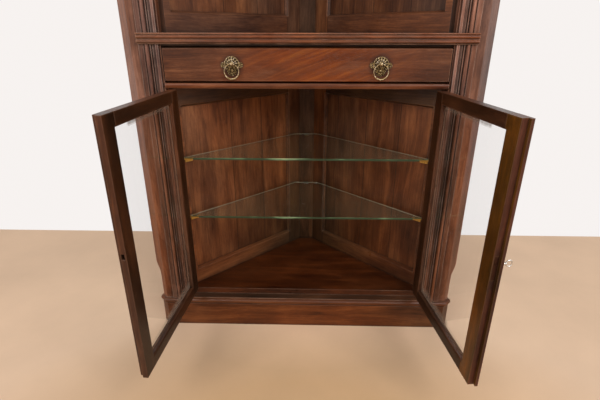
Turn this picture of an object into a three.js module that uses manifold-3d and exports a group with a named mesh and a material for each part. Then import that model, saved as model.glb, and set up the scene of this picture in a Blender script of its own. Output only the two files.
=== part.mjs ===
// Corner china cabinet: an open display section over a drawer and a pair of glass doors.
// Millimetres, +Z up. The origin is on the floor at mid width, in the plane of the front frame.
// +Y runs from the front into the corner of the room, and the doors swing out towards -Y.

import * as THREE from 'three';
import { mergeVertices } from 'three/addons/utils/BufferGeometryUtils.js';
import Module from 'manifold-3d';

const wasm = await Module();
wasm.setup();

// Fits and clearances
const seat_gap = 0.3;
const overrun = 2;

// Plan of the carcass
const opening_half_width = 365.5;
const stile_front_width = 76.5;
const return_depth = 30.5;
const return_thickness = 20;
const door_thickness = 21.5;
const door_stop_gap = 0.6;
const wall_line_lead = 11;
const corner_board_half_width = 25;
const corner_board_thickness = 20;
const wall_frame_thickness = 12;
const wall_panel_thickness = 8;

// Heights, stacked from the floor up to the waist, and from the top down above it
const plinth_height = 80.8;
const base_bead_height = 22;
const sill_rail_height = 17.6;
const door_height = 609.1;
const drawer_rail_height = 13.7;
const drawer_front_height = 83.4;
const waist_recess_height = 7.3;
const waist_moulding_height = 26.3;
const cabinet_height = 2000;
const cornice_height = 144;
const wall_top_drop = 15;
const top_board_drop = 5;

// Base
const plinth_projection = 1.5;
const plinth_return = 21;
const plinth_board_thickness = 18;
const base_bead_projection = 9;
const base_bead_return = 18.5;
const base_bead_depth = 30;
const base_bead_radius_share = 0.4;
const floor_board_thickness = 18;
const sill_rail_thickness = 20;
const baseboard_notch_height = 175;
const baseboard_ogee_height = 50;
const baseboard_notch_cut = 22.4;

// Pilasters, planted on the stiles
const pilaster_edge_gap = 4;
const pilaster_flat_width = 13;
const pilaster_ridge_width = 11.2;
const pilaster_quirk_width = 2.4;
const pilaster_bead_width = 3.6;
const pilaster_flute_width = 8;
const pilaster_fillet_width = 7.4;
const pilaster_flat_face = 6;
const pilaster_ridge_face = 10;
const pilaster_edge_face = 8;
const pilaster_quirk_face = 3;

// Walls
const wall_front_stile = 22.5;
const wall_rear_stile = 54;
const wall_moulding_width = 5;
const wall_moulding_depth = 10;
const lower_panel_above_floor = 50.2;
const lower_panel_below_rail = 54.8;
const upper_panel_above_waist = 53.3;
const upper_panel_below_top = 119;

// Waist, drawer rail and dust board
const waist_board_thickness = 22;
const waist_moulding_projection = 7;
const waist_moulding_top_lip = 0.8;
const waist_moulding_overhang = 0.3;
// Its profile as shares of projection and height: each bead is (root, centre height, half height)
const waist_cove_shares = [[0, 0], [0.18, 0], [0.24, 0.07]];
const waist_bead_shares = [[0.55, 0.24, 0.14], [0.6, 0.67, 0.13]];
const waist_bead_tip_share = 0.99;
const waist_quirk_shares = [[0.5, 0.42], [0.5, 0.5]];
const waist_fillet_shares = [[0.62, 0.86], [0.95, 0.9], [0.95, 1], [0, 1]];
const waist_rail_thickness = 18;
const waist_rail_setback = 3;
const dust_board_thickness = 10;
const runner_width = 24;
const runner_height = 9;

// Shelves
const glass_thickness = 6;
const lower_glass_above_floor = 232.1;
const glass_shelf_spacing = 180.8;
const glass_front_gap = 2;
const glass_wall_gap = 1.5;
const glass_corner_gap = 17;
const clip_length = 24;
const clip_ledge = 11;
const clip_leg = 9;
const clip_thickness = 2;
const rear_clip_length = 16;
const display_shelf_thickness = 17;
const display_shelf_shares = [0.3, 0.6];
const display_shelf_setback = 6;

// Top
const cornice_projection = 48;
const cornice_back_depth = 14;
const frieze_height = 62;
const frieze_projection = 14;
const top_board_thickness = 18;
// The cornice above its frieze, as shares of its run and rise
const cornice_fillet_share = 0.12;
const cornice_cove_foot_share = 0.14;
const cornice_cove_share = 0.5;
const cornice_quirk_share = 0.66;
const cornice_ovolo_foot_share = 0.7;
const cornice_ovolo_rise_share = 0.16;
const cornice_ovolo_run_share = 0.3;

// Doors, both shown standing open
const left_open_angle = THREE.MathUtils.degToRad(94);
const right_open_angle = THREE.MathUtils.degToRad(97);
const door_side_gap = 2;
const door_floor_gap = 2;
const door_top_gap = 1.8;
const door_meeting_gap = 2;
const door_hinge_stile = 36;
const door_free_stile = 43.5;
const door_top_rail = 30;
const door_bottom_rail = 29;
const door_glass_thickness = 3;
const door_glass_depth = 6;
const door_glass_lap = 6;
const door_moulding_width = 5;
const door_moulding_lip = 2.5;
const tongue_thickness = 7.7;
const tongue_reach = 7;
const tongue_round = 2.5;
const tongue_depth_gap = 0.8;

// Butt hinges
const knuckle_radius = 4.5;
const hinge_axis_proud = 8;
const hinge_axis_inset = 0.5;
const hinge_length = 52;
const hinge_inset = 66;
const hinge_leaf_thickness = 1.7;
const hinge_leaf_width = 17;
const hinge_pin_radius = 1.9;
const hinge_bore_radius = 2.1;
const hinge_finial_height = 4;
const hinge_finial_share = 0.8;
const hinge_finial_sink_share = 0.6;
const knuckle_running_gap = 0.4;

// Lock in the right door
const lock_above_middle = 1.75;
const lock_pane_gap = 11;
const lock_case_height = 54;
const lock_case_thickness = 9.5;
const lock_cover = 3;
const lock_back_wall = 1.4;
const bolt_throw = 7;
const bolt_back_gap = 3.5;
const bolt_height = 11;
const bolt_thickness = 5;
const bolt_above_key = 9.5;
const bolt_slot_gap = 0.5;
const key_shank_radius = 2;
const key_hole_radius = 2.6;
const key_reach = 11.5;
const key_stem = 18.5;
const key_bow_radius = 6.6;
const key_bow_wire = 1.5;
const key_collar_radius = 3;
const key_collar_length = 2.2;
const key_bit_length = 4.5;
const key_bit_drop = 5.5;
const key_bit_thickness = 1.8;
const key_cavity_gap = 1.2;

// Drawer
const drawer_front_thickness = 18;
const drawer_front_proud = 2;
const drawer_side_gap = 2;
const drawer_bottom_gap = 3.5;
const drawer_top_gap = 2;
const drawer_box_drop = 13.4;
const drawer_side_thickness = 10;
const drawer_wall_gap = 7;
const drawer_depth = 236;
const drawer_base_thickness = 6;
const drawer_base_gap = 2;
const drawer_front_edge_round = 3;

// Ring pulls
const pull_from_drawer_end = 175.1;
const pull_plate_width = 57;
const pull_plate_thickness = 2.4;
const pull_plate_rise = 18.5;
const pull_plate_drop = 14.8;
const pull_ear_radius = 10.5;
const pull_ear_hole_radius = 3.6;
const pull_shoulder_share = 0.85;
const pull_dome_share = 0.33;
const pull_post_above_centre = 2.5;
const pull_post_radius = 5.6;
const pull_stem_radius = 3.9;
const pull_post_reach = 13.5;
const pull_eye_radius = 3;
const ring_radius = 18.3;
const ring_wire_radius = 1.9;

// Plan values worked out from the sizes above
const diagonal = Math.SQRT2;
const wall_front = door_thickness + door_stop_gap;
const face_frame_thickness = wall_front - seat_gap;
const stile_front_half_width = opening_half_width + stile_front_width;
const wall_line_offset = opening_half_width + wall_line_lead;
const pilaster_inner_half_width = opening_half_width + pilaster_edge_gap;
const pilaster_outer_half_width = pilaster_inner_half_width + pilaster_flat_width
  + pilaster_ridge_width + pilaster_bead_width + pilaster_flute_width + pilaster_fillet_width
  + 3 * pilaster_quirk_width;
const glass_back_half_width = corner_board_half_width + glass_corner_gap;
const door_outer_x = opening_half_width - door_side_gap;
const hinge_axis_x = door_outer_x - hinge_axis_inset;
const hinge_axis_y = -hinge_axis_proud;
const door_free_x = door_meeting_gap / 2;
const drawer_half_width = opening_half_width - drawer_side_gap;

// Heights worked out from the sizes above
const base_top = plinth_height + base_bead_height;
const floor_height = base_top + sill_rail_height + seat_gap + floor_board_thickness;
const door_bottom = floor_height + door_floor_gap;
const door_top_height = door_bottom + door_height;
const drawer_rail_bottom = door_top_height + door_top_gap;
const drawer_rail_top = drawer_rail_bottom + drawer_rail_height;
const drawer_front_bottom = drawer_rail_top + drawer_bottom_gap;
const drawer_front_top = drawer_front_bottom + drawer_front_height;
const waist_moulding_bottom = drawer_front_top + waist_recess_height;
const waist_moulding_top = waist_moulding_bottom + waist_moulding_height;
const waist_height = waist_moulding_top - waist_moulding_top_lip;
const frieze_bottom = cabinet_height - cornice_height;
const wall_top_height = cabinet_height - wall_top_drop;
const top_board_height = wall_top_height - top_board_drop - top_board_thickness;
const lower_glass_height = floor_height + lower_glass_above_floor;
const upper_glass_height = lower_glass_height + glass_shelf_spacing;

// Lock and pulls worked out from the pieces that carry them
const lock_height = (door_bottom + door_top_height) / 2 + lock_above_middle;
const lock_case_width = door_free_stile - door_glass_lap - lock_pane_gap;
const lock_case_depth = door_thickness - lock_cover - lock_case_thickness;
const lock_cavity_radius = key_bit_drop + key_shank_radius + key_cavity_gap / 2;
const lock_axis_x = door_free_x + lock_case_width - lock_back_wall - lock_cavity_radius;
const bolt_length = lock_case_width - bolt_back_gap;
const pull_half_spacing = drawer_half_width - pull_from_drawer_end;
const pull_post_height = drawer_front_bottom + drawer_front_height / 2 + pull_post_above_centre;
const pull_face = -drawer_front_proud - seat_gap;
const ring_axis_y = pull_face - pull_plate_thickness - pull_post_reach + pull_post_radius;

const mahogany = { color: 0x4a2517, roughness: 0.42, metalness: 0 };
const dark_mahogany = { color: 0x331a11, roughness: 0.5, metalness: 0 };
const panel_mahogany = { color: 0x5b2a17, roughness: 0.45, metalness: 0 };
const drawer_wood = { color: 0x8a6844, roughness: 0.7, metalness: 0 };
const brass = { color: 0x9a7a42, roughness: 0.35, metalness: 1 };
const steel = { color: 0x8d8f92, roughness: 0.35, metalness: 1 };
const clear_glass = { color: 0xcfe3dc, roughness: 0.05, metalness: 0, transparent: true, opacity: 0.3 };

// Geometry helpers

function toSolid(geometry) {
  const bare = geometry.clone();
  bare.deleteAttribute('normal');
  bare.deleteAttribute('uv');
  const merged = mergeVertices(bare, 1e-4);
  const triangles = [];
  const index = merged.index.array;
  for (let i = 0; i < index.length; i += 3) {
    const [a, b, c] = [index[i], index[i + 1], index[i + 2]];
    if (a !== b && b !== c && c !== a) triangles.push(a, b, c);
  }
  return new wasm.Manifold(new wasm.Mesh({
    numProp: 3,
    vertProperties: new Float32Array(merged.attributes.position.array),
    triVerts: new Uint32Array(triangles),
  }));
}

function toGeometry(solid) {
  const mesh = solid.getMesh();
  const geometry = new THREE.BufferGeometry();
  const places = new Float32Array(mesh.numVert * 3);
  for (let i = 0; i < mesh.numVert; i += 1) {
    for (let axis = 0; axis < 3; axis += 1) {
      places[i * 3 + axis] = mesh.vertProperties[i * mesh.numProp + axis];
    }
  }
  geometry.setAttribute('position', new THREE.BufferAttribute(places, 3));
  geometry.setIndex(new THREE.BufferAttribute(new Uint32Array(mesh.triVerts), 1));
  return geometry;
}

function cut(body, ...tools) {
  return toGeometry(tools.reduce((solid, tool) => solid.subtract(toSolid(tool)), toSolid(body)));
}

function join(first, ...others) {
  return toGeometry(others.reduce((solid, other) => solid.add(toSolid(other)), toSolid(first)));
}

function box(low, high) {
  const size = high.map((value, axis) => value - low[axis]);
  const middle = high.map((value, axis) => (value + low[axis]) / 2);
  return new THREE.BoxGeometry(...size).translate(...middle);
}

function outline(points) {
  return new THREE.Shape(points.map(([x, y]) => new THREE.Vector2(x, y)));
}

// An upright prism over an outline in plan
function prism(points, bottom, top) {
  const options = { depth: top - bottom, bevelEnabled: false };
  return new THREE.ExtrudeGeometry(outline(points), options).translate(0, 0, bottom);
}

// A bar along X whose section is drawn in (Y, Z)
function barAlongX(section, left, right) {
  const options = { depth: right - left, bevelEnabled: false, curveSegments: 6 };
  const along = new THREE.Matrix4().set(0, 0, 1, left, 1, 0, 0, 0, 0, 1, 0, 0, 0, 0, 0, 1);
  return new THREE.ExtrudeGeometry(section, options).applyMatrix4(along);
}

// A round rod along one axis: its ends are the low and high places on that axis
function rod(axis, radius, low, high, centre, sides = 16) {
  const geometry = new THREE.CylinderGeometry(radius, radius, high - low, sides);
  if (axis === 'x') geometry.rotateZ(-Math.PI / 2);
  if (axis === 'z') geometry.rotateX(Math.PI / 2);
  const middle = (low + high) / 2;
  const place = { x: [middle, ...centre], y: [centre[0], middle, centre[1]], z: [...centre, middle] };
  return geometry.translate(...place[axis]);
}

// The same piece on the other side of the cabinet
function mirrored(geometry) {
  const copy = geometry.index ? geometry.clone() : mergeVertices(geometry.clone());
  copy.scale(-1, 1, 1);
  const index = copy.index.array;
  for (let i = 0; i < index.length; i += 3) {
    [index[i + 1], index[i + 2]] = [index[i + 2], index[i + 1]];
  }
  return copy;
}

function forSide(side, geometry) {
  return side > 0 ? geometry : mirrored(geometry);
}

// A closed skin over rings that all have the same number of points, flat at both ends
function loft(rings, section) {
  const count = rings[0].length;
  const places = rings.flat().flatMap((point) => [point.x, point.y, point.z]);
  const faces = [];
  for (let ring = 0; ring + 1 < rings.length; ring += 1) {
    for (let i = 0; i < count; i += 1) {
      const next = (i + 1) % count;
      const near = ring * count;
      const far = near + count;
      faces.push([near + i, near + next, far + next], [near + i, far + next, far + i]);
    }
  }
  const last = (rings.length - 1) * count;
  for (const [a, b, c] of THREE.ShapeUtils.triangulateShape(section, [])) {
    faces.push([c, b, a], [last + a, last + b, last + c]);
  }
  const outward = signedVolume(places, faces) > 0;
  const geometry = new THREE.BufferGeometry();
  geometry.setAttribute('position', new THREE.Float32BufferAttribute(places, 3));
  geometry.setIndex(faces.flatMap(([a, b, c]) => (outward ? [a, b, c] : [a, c, b])));
  return geometry;
}

function signedVolume(places, faces) {
  const at = (i) => new THREE.Vector3(...places.slice(3 * i, 3 * i + 3));
  return faces.reduce((sum, [a, b, c]) => sum + at(a).dot(at(b).cross(at(c))) / 6, 0);
}

// A moulding mitred round a path in plan: the section is drawn as (projection from the path, height)
function mitredMoulding(path, section) {
  const points = path.map(([x, y]) => new THREE.Vector2(x, y));
  const normals = points.slice(1).map((point, i) => {
    const along = point.clone().sub(points[i]).normalize();
    return new THREE.Vector2(along.y, -along.x);
  });
  const shifts = points.map((point, i) => {
    const before = normals[Math.max(0, i - 1)];
    const after = normals[Math.min(normals.length - 1, i)];
    return before.clone().add(after).divideScalar(1 + before.dot(after));
  });
  const rings = points.map((point, i) => section.map(([projection, height]) => new THREE.Vector3(
    point.x + shifts[i].x * projection, point.y + shifts[i].y * projection, height)));
  return loft(rings, section.map(([projection, height]) => new THREE.Vector2(projection, height)));
}

// Points of an arc in a section, from one angle to another in degrees
function arc(centre, radius, from, to, steps) {
  return Array.from({ length: steps + 1 }, (_, i) => {
    const angle = THREE.MathUtils.degToRad(from + ((to - from) * i) / steps);
    return [centre[0] + radius * Math.cos(angle), centre[1] + radius * Math.sin(angle)];
  });
}

// An opening that widens towards the face, as the moulded edge round a panel or a pane does
function splayedOpening(low, high, face, throat, splay) {
  const ring = (grow, y) => [
    [low[0] - grow, low[1] - grow], [high[0] + grow, low[1] - grow],
    [high[0] + grow, high[1] + grow], [low[0] - grow, high[1] + grow],
  ].map(([x, z]) => new THREE.Vector3(x, y, z));
  const reach = Math.sign(face - throat) * overrun;
  const slope = splay / Math.abs(face - throat);
  const section = [[0, 0], [1, 0], [1, 1], [0, 1]].map(([x, y]) => new THREE.Vector2(x, y));
  return loft([ring(splay + slope * overrun, face + reach), ring(0, throat)], section);
}

// Scene helpers

const cabinet = new THREE.Group();

function addPiece(parent, name, geometry, finish) {
  const piece = new THREE.Mesh(geometry, new THREE.MeshStandardMaterial(finish));
  piece.name = name;
  parent.add(piece);
  return piece;
}

function sideName(side) {
  return side > 0 ? 'right' : 'left';
}

// Plan outlines

// A board that fills the space inside the walls, back from a front edge
function boardOutline(front, frontHalfWidth = opening_half_width - seat_gap) {
  const wall = wall_line_offset - seat_gap * diagonal;
  const shoulder = wall_front - seat_gap;
  const back = wall_line_offset - corner_board_half_width - seat_gap;
  const right = front < shoulder
    ? [[frontHalfWidth, front], [frontHalfWidth, shoulder], [wall - shoulder, shoulder]]
    : [[wall - front, front]];
  right.push([wall - back, back]);
  return [...right, ...right.map(([x, y]) => [-x, y]).reverse()];
}

function basePath(returnDepth) {
  const rear = [stile_front_half_width + returnDepth, returnDepth];
  const corner = [stile_front_half_width, 0];
  return [[-rear[0], rear[1]], [-corner[0], corner[1]], corner, rear];
}

// Base

function plinth() {
  const front = plinth_projection;
  const section = [
    [front, 0],
    [front, plinth_height - seat_gap],
    [front - plinth_board_thickness, plinth_height - seat_gap],
    [front - plinth_board_thickness, 0],
  ];
  return mitredMoulding(basePath(plinth_return), section);
}

function baseMoulding() {
  const radius = base_bead_height * base_bead_radius_share;
  const middle = plinth_height + base_bead_height / 2;
  const fillet = base_bead_projection - radius;
  const section = [
    [fillet, plinth_height],
    ...arc([fillet, middle], radius, -90, 90, 8),
    [fillet, base_top - seat_gap],
    [base_bead_projection - base_bead_depth, base_top - seat_gap],
    [base_bead_projection - base_bead_depth, plinth_height],
  ];
  return mitredMoulding(basePath(base_bead_return), section);
}

function floorBoard() {
  return prism(boardOutline(0), floor_height - floor_board_thickness, floor_height);
}

function sillRail() {
  const half = opening_half_width - seat_gap;
  return box([-half, 0, base_top], [half, sill_rail_thickness, base_top + sill_rail_height]);
}

// Front stiles and pilasters

// The part of the stile's rear edge that is cut away to clear a baseboard, ending in an ogee
function baseboardNotch() {
  const full = return_depth * diagonal;
  const narrow = full - baseboard_notch_cut;
  const top = baseboard_notch_height + baseboard_ogee_height;
  const middle = (baseboard_notch_height + top) / 2;
  const notch = new THREE.Shape();
  notch.moveTo(narrow, -overrun);
  notch.lineTo(narrow, baseboard_notch_height);
  notch.bezierCurveTo(narrow, middle, full, middle, full + overrun / 2, top);
  notch.lineTo(full + return_thickness, top);
  notch.lineTo(full + return_thickness, -overrun);
  const depth = return_thickness + 2 * overrun;
  const along = new THREE.Vector3(1, 1, 0).normalize();
  const out = new THREE.Vector3(1, -1, 0).normalize();
  const start = new THREE.Vector3(stile_front_half_width, 0, 0)
    .addScaledVector(out, overrun - depth);
  const frame = new THREE.Matrix4().makeBasis(along, new THREE.Vector3(0, 0, 1), out);
  frame.setPosition(start);
  return new THREE.ExtrudeGeometry(notch, { depth, bevelEnabled: false, curveSegments: 10 })
    .applyMatrix4(frame);
}

function stile(side) {
  const step = return_thickness / diagonal;
  const rear = [stile_front_half_width + return_depth, return_depth];
  const inside = stile_front_half_width - 2 * step + face_frame_thickness;
  const body = prism([
    [opening_half_width, 0],
    [stile_front_half_width, 0],
    rear,
    [rear[0] - step, rear[1] + step],
    [inside, face_frame_thickness],
    [opening_half_width, face_frame_thickness],
  ], base_top, wall_top_height);
  const recesses = hingeHeights().map((height) => box(
    [opening_half_width - overrun, -overrun, height - hinge_length / 2 - seat_gap],
    [opening_half_width + hinge_leaf_thickness + seat_gap, hinge_leaf_width + seat_gap,
      height + hinge_length / 2 + seat_gap]));
  return forSide(side, cut(body, baseboardNotch(), ...recesses));
}

// Flat band, round ridge, quirk, thin bead, flute and edge fillet, from the outer side inwards
function pilaster(side) {
  const inner = pilaster_inner_half_width;
  const outer = pilaster_outer_half_width;
  const arch = (start, width, base, top, steps) => arc([0, 0], 1, 0, 180, steps)
    .map(([x, y]) => [start - width / 2 + (x * width) / 2, -base - y * (top - base)]);
  const ridge = outer - pilaster_flat_width - pilaster_quirk_width;
  const bead = ridge - pilaster_ridge_width - pilaster_quirk_width;
  const flute = bead - pilaster_bead_width - pilaster_quirk_width;
  const section = [
    [outer, -seat_gap],
    [outer, -pilaster_flat_face],
    [outer - pilaster_flat_width, -pilaster_flat_face],
    ...arch(ridge, pilaster_ridge_width, pilaster_quirk_face, pilaster_ridge_face, 8),
    ...arch(bead, pilaster_bead_width, pilaster_quirk_face, pilaster_edge_face, 4),
    [bead - pilaster_bead_width - pilaster_quirk_width / 2, -pilaster_quirk_face],
    ...arch(flute, pilaster_flute_width, pilaster_flat_face, pilaster_quirk_face, 6),
    [inner + pilaster_fillet_width, -pilaster_edge_face],
    [inner, -pilaster_edge_face],
    [inner, -seat_gap],
  ];
  return forSide(side, prism(section, base_top, frieze_bottom - seat_gap));
}

// Walls

// Places along the wall are measured in plan from the front end, square to the wall's normal
function wallFrame(side) {
  const outer = wall_line_offset + wall_frame_thickness * diagonal;
  const corner = corner_board_half_width + seat_gap;
  const body = prism([
    [wall_line_offset - wall_front, wall_front],
    [outer - wall_front, wall_front],
    [corner, outer - corner],
    [corner, wall_line_offset - corner],
  ], 0, wall_top_height);
  const length = (wall_line_offset - wall_front - corner) * diagonal;
  const windows = [
    [floor_height + lower_panel_above_floor, drawer_rail_bottom - lower_panel_below_rail],
    [waist_height + upper_panel_above_waist, wall_top_height - upper_panel_below_top],
  ];
  const tools = windows.map(([bottom, top]) => {
    const low = [wall_front_stile, bottom];
    const high = [length - wall_rear_stile, top];
    const splay = splayedOpening(low, high, 0, wall_moulding_depth, wall_moulding_width);
    const through = box([low[0], 0, low[1]], [high[0], wall_frame_thickness + overrun, high[1]]);
    return onWall(join(splay, through));
  });
  return forSide(side, cut(body, ...tools));
}

// Moves a piece drawn along X from the wall's front end, with +Y into the wall, to the right wall.
// The wall's frame is left-handed, so the faces are turned back.
function onWall(geometry) {
  const along = new THREE.Vector3(-1, 1, 0).normalize();
  const into = new THREE.Vector3(1, 1, 0).normalize();
  const frame = new THREE.Matrix4().makeBasis(along, into, new THREE.Vector3(0, 0, 1));
  frame.setPosition(wall_line_offset - wall_front, wall_front, 0);
  return mirrored(geometry.clone().applyMatrix4(frame).scale(-1, 1, 1));
}

function wallPanel(side) {
  const inner = wall_line_offset + (wall_frame_thickness + seat_gap) * diagonal;
  const outer = inner + wall_panel_thickness * diagonal;
  const corner = corner_board_half_width + seat_gap;
  return forSide(side, prism([
    [inner - wall_front, wall_front],
    [outer - wall_front, wall_front],
    [corner, outer - corner],
    [corner, inner - corner],
  ], 0, wall_top_height));
}

function cornerBoard() {
  const front = wall_line_offset - corner_board_half_width;
  const half = corner_board_half_width;
  return box([-half, front, 0], [half, front + corner_board_thickness, wall_top_height]);
}

// Waist, drawer rail and dust board

function waistBoard() {
  const front = -pilaster_edge_face;
  const bottom = waist_height - waist_board_thickness;
  return prism(boardOutline(front), bottom, waist_height);
}

// Two beads with a quirk between them under a thin fillet, and a cove below
function waistMoulding() {
  const face = -pilaster_ridge_face - seat_gap;
  const half = pilaster_outer_half_width + waist_moulding_overhang;
  const [lower_bead, upper_bead] = waist_bead_shares
    .map(([root, centre, half_height]) => arc([0, 0], 1, -90, 90, 6)
      .map(([x, y]) => [root + x * (waist_bead_tip_share - root), centre + y * half_height]));
  const section = [
    ...waist_cove_shares,
    ...lower_bead,
    ...waist_quirk_shares,
    ...upper_bead,
    ...waist_fillet_shares,
  ].map(([out, up]) => new THREE.Vector2(
    face - out * waist_moulding_projection,
    waist_moulding_bottom + up * waist_moulding_height));
  return barAlongX(new THREE.Shape(section), -half, half);
}

function waistRail() {
  const half = opening_half_width - seat_gap;
  const top = waist_height - waist_board_thickness - seat_gap;
  const bottom = drawer_front_top + drawer_top_gap;
  const front = waist_rail_setback;
  return box([-half, front, bottom], [half, front + waist_rail_thickness, top]);
}

function drawerRail() {
  const radius = drawer_rail_height / 2;
  const middle = drawer_rail_bottom + radius;
  const half = opening_half_width - seat_gap;
  const depth = wall_front - seat_gap;
  const section = new THREE.Shape();
  section.moveTo(depth, drawer_rail_bottom);
  section.lineTo(0, drawer_rail_bottom);
  section.absellipse(0, middle, radius / 2, radius, -Math.PI / 2, Math.PI / 2, true);
  section.lineTo(depth, drawer_rail_top);
  return barAlongX(section, -half, half);
}

// The dust board carries the drawer, and a runner down its middle guides it
function dustBoard() {
  const front = wall_front;
  const top = drawer_rail_top;
  const board = prism(boardOutline(front), top - dust_board_thickness, top);
  const rear = front + drawer_depth;
  const half = runner_width / 2;
  const runner = box([-half, front, top - overrun], [half, rear, top + runner_height]);
  return join(board, runner);
}

// Shelves

function glassShelf(height) {
  const wall = wall_line_offset - glass_wall_gap * diagonal;
  const front = wall_front + glass_front_gap;
  const back = wall_line_offset - glass_back_half_width;
  const half = wall - back;
  const right = [[wall - front, front], [half, back]];
  return prism([...right, [-half, back], [front - wall, front]], height, height + glass_thickness);
}

// An angle clip on the wall: the pane rests on its ledge, which stays clear of the closed door
function shelfClip(side, height) {
  const top = height - seat_gap;
  const place = glass_front_gap + clip_ledge;
  const section = [
    [-seat_gap, top],
    [-seat_gap, top - clip_leg],
    [-seat_gap - clip_thickness, top - clip_leg],
    [-seat_gap - clip_thickness, top - clip_thickness],
    [-clip_ledge, top - clip_thickness],
    [-clip_ledge, top],
  ].map(([y, z]) => new THREE.Vector2(y, z));
  return forSide(side, onWall(barAlongX(new THREE.Shape(section), place, place + clip_length)));
}

// The clip at the back corner stands on the corner board
function rearClip(height) {
  const wall = wall_line_offset - corner_board_half_width;
  const reach = glass_back_half_width - corner_board_half_width + clip_ledge;
  const top = height - seat_gap;
  const half = rear_clip_length / 2;
  const ledge = box([-half, wall - reach, top - clip_thickness], [half, wall - seat_gap, top]);
  const leg = box([-half, wall - seat_gap - clip_thickness, top - clip_leg], [half, wall - seat_gap, top]);
  return join(ledge, leg);
}

function displayShelf(height) {
  const front = wall_front + display_shelf_setback;
  return prism(boardOutline(front), height - display_shelf_thickness, height);
}

// Top

// A flat frieze under a cove and a bold ovolo
function cornice() {
  const back = frieze_projection - cornice_back_depth;
  const start = frieze_bottom + frieze_height;
  const rise = cabinet_height - start;
  const run = cornice_projection - frieze_projection;
  const cove_centre = [cornice_fillet_share + cornice_cove_share, cornice_cove_foot_share];
  const ovolo = arc([0, 0], 1, -90, 0, 5).map(([x, y]) => [
    1 - cornice_ovolo_run_share + x * cornice_ovolo_run_share,
    cornice_ovolo_foot_share + (1 + y) * cornice_ovolo_rise_share,
  ]);
  const crown = [
    [0, 0],
    [cornice_fillet_share, 0],
    ...arc(cove_centre, cornice_cove_share, 180, 90, 7),
    [cornice_quirk_share, cornice_cove_foot_share + cornice_cove_share],
    [cornice_quirk_share, cornice_ovolo_foot_share],
    ...ovolo,
    [1, 1],
  ].map(([out, up]) => [frieze_projection + out * run, start + up * rise]);
  const section = [
    [back, frieze_bottom],
    [frieze_projection, frieze_bottom],
    ...crown,
    [back, cabinet_height],
  ].map(([projection, height]) => [projection + seat_gap, height]);
  return mitredMoulding(basePath(return_depth), section);
}

function topBoard() {
  return prism(boardOutline(0), top_board_height, top_board_height + top_board_thickness);
}

// Doors, drawn closed and for the right side

function hingeHeights() {
  return [door_bottom + hinge_inset, door_top_height - hinge_inset];
}

function doorAperture() {
  return {
    low: [door_free_x + door_free_stile, door_bottom + door_bottom_rail],
    high: [door_outer_x - door_hinge_stile, door_top_height - door_top_rail],
  };
}

// What is cut from the door's members for the pane and the moulded edges round it
function doorOpeningTool() {
  const { low, high } = doorAperture();
  const back = door_thickness;
  const front_splay = splayedOpening(low, high, 0, door_moulding_lip, door_moulding_width);
  const back_splay = splayedOpening(low, high, back, back - door_moulding_lip, door_moulding_width);
  const through = box(
    [low[0], door_moulding_lip - overrun / 2, low[1]],
    [high[0], back - door_moulding_lip + overrun / 2, high[1]]);
  const lap = door_glass_lap + seat_gap;
  const rebate = box(
    [low[0] - lap, door_glass_depth - seat_gap, low[1] - lap],
    [high[0] + lap, door_glass_depth + door_glass_thickness + seat_gap, high[1] + lap]);
  return join(through, front_splay, back_splay, rebate);
}

function hingeStile() {
  const inner = door_outer_x - door_hinge_stile;
  const body = box([inner, 0, door_bottom], [door_outer_x, door_thickness, door_top_height]);
  const recesses = hingeHeights().map((height) => box(
    [door_outer_x - hinge_leaf_thickness - seat_gap, -overrun, height - hinge_length / 2 - seat_gap],
    [door_outer_x + overrun, hinge_leaf_width + seat_gap, height + hinge_length / 2 + seat_gap]));
  return cut(body, doorOpeningTool(), ...recesses);
}

function freeStileBody() {
  const inner = door_free_x + door_free_stile;
  return box([door_free_x, 0, door_bottom], [inner, door_thickness, door_top_height]);
}

function doorRail(bottom, top) {
  const left = door_free_x + door_free_stile + seat_gap;
  const right = door_outer_x - door_hinge_stile - seat_gap;
  return cut(box([left, 0, bottom], [right, door_thickness, top]), doorOpeningTool());
}

function doorPane() {
  const { low, high } = doorAperture();
  const lap = door_glass_lap;
  return box(
    [low[0] - lap, door_glass_depth, low[1] - lap],
    [high[0] + lap, door_glass_depth + door_glass_thickness, high[1] + lap]);
}

// The left door's outer edge is rebated, and its inner tongue is mortised for the bolt
function leftFreeStile() {
  const depth = tongue_thickness + tongue_depth_gap;
  const rebate = box(
    [door_free_x - overrun, -overrun, door_bottom - overrun],
    [door_free_x + tongue_reach, depth, door_top_height + overrun]);
  const bolt = boltBox();
  const grow = 2 * bolt_slot_gap;
  const mortise = box(
    [door_free_x - overrun, bolt.low[1] - grow, bolt.low[2] - grow],
    [door_free_x + bolt_throw + door_meeting_gap, bolt.high[1] + grow, bolt.high[2] + grow]);
  return mirrored(cut(freeStileBody(), doorOpeningTool(), rebate, mortise));
}

// The right door's outer tongue laps over the left door
function rightFreeStile() {
  const inner = door_free_x + door_free_stile;
  const tip = door_free_x - tongue_reach;
  const round = tongue_round;
  const body = prism([
    [inner, 0],
    [inner, door_thickness],
    [door_free_x, door_thickness],
    [door_free_x, tongue_thickness],
    [tip, tongue_thickness],
    ...arc([tip + round, round], round, 180, 270, 4),
  ], door_bottom, door_top_height);
  const gap = seat_gap;
  const pocket = box(
    [door_free_x - overrun, lock_case_depth - gap, lock_height - lock_case_height / 2 - gap],
    [door_free_x + lock_case_width + gap, lock_case_depth + lock_case_thickness + gap,
      lock_height + lock_case_height / 2 + gap]);
  const centre = [lock_axis_x, lock_height];
  const keyhole = rod('y', key_hole_radius, -overrun, lock_case_depth, centre);
  const bit_slot = box(
    [lock_axis_x - key_bit_thickness, -overrun, lock_height - key_shank_radius - key_bit_drop - gap],
    [lock_axis_x + key_bit_thickness, lock_case_depth, lock_height]);
  return cut(body, doorOpeningTool(), pocket, keyhole, bit_slot);
}

// Hinges

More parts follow.
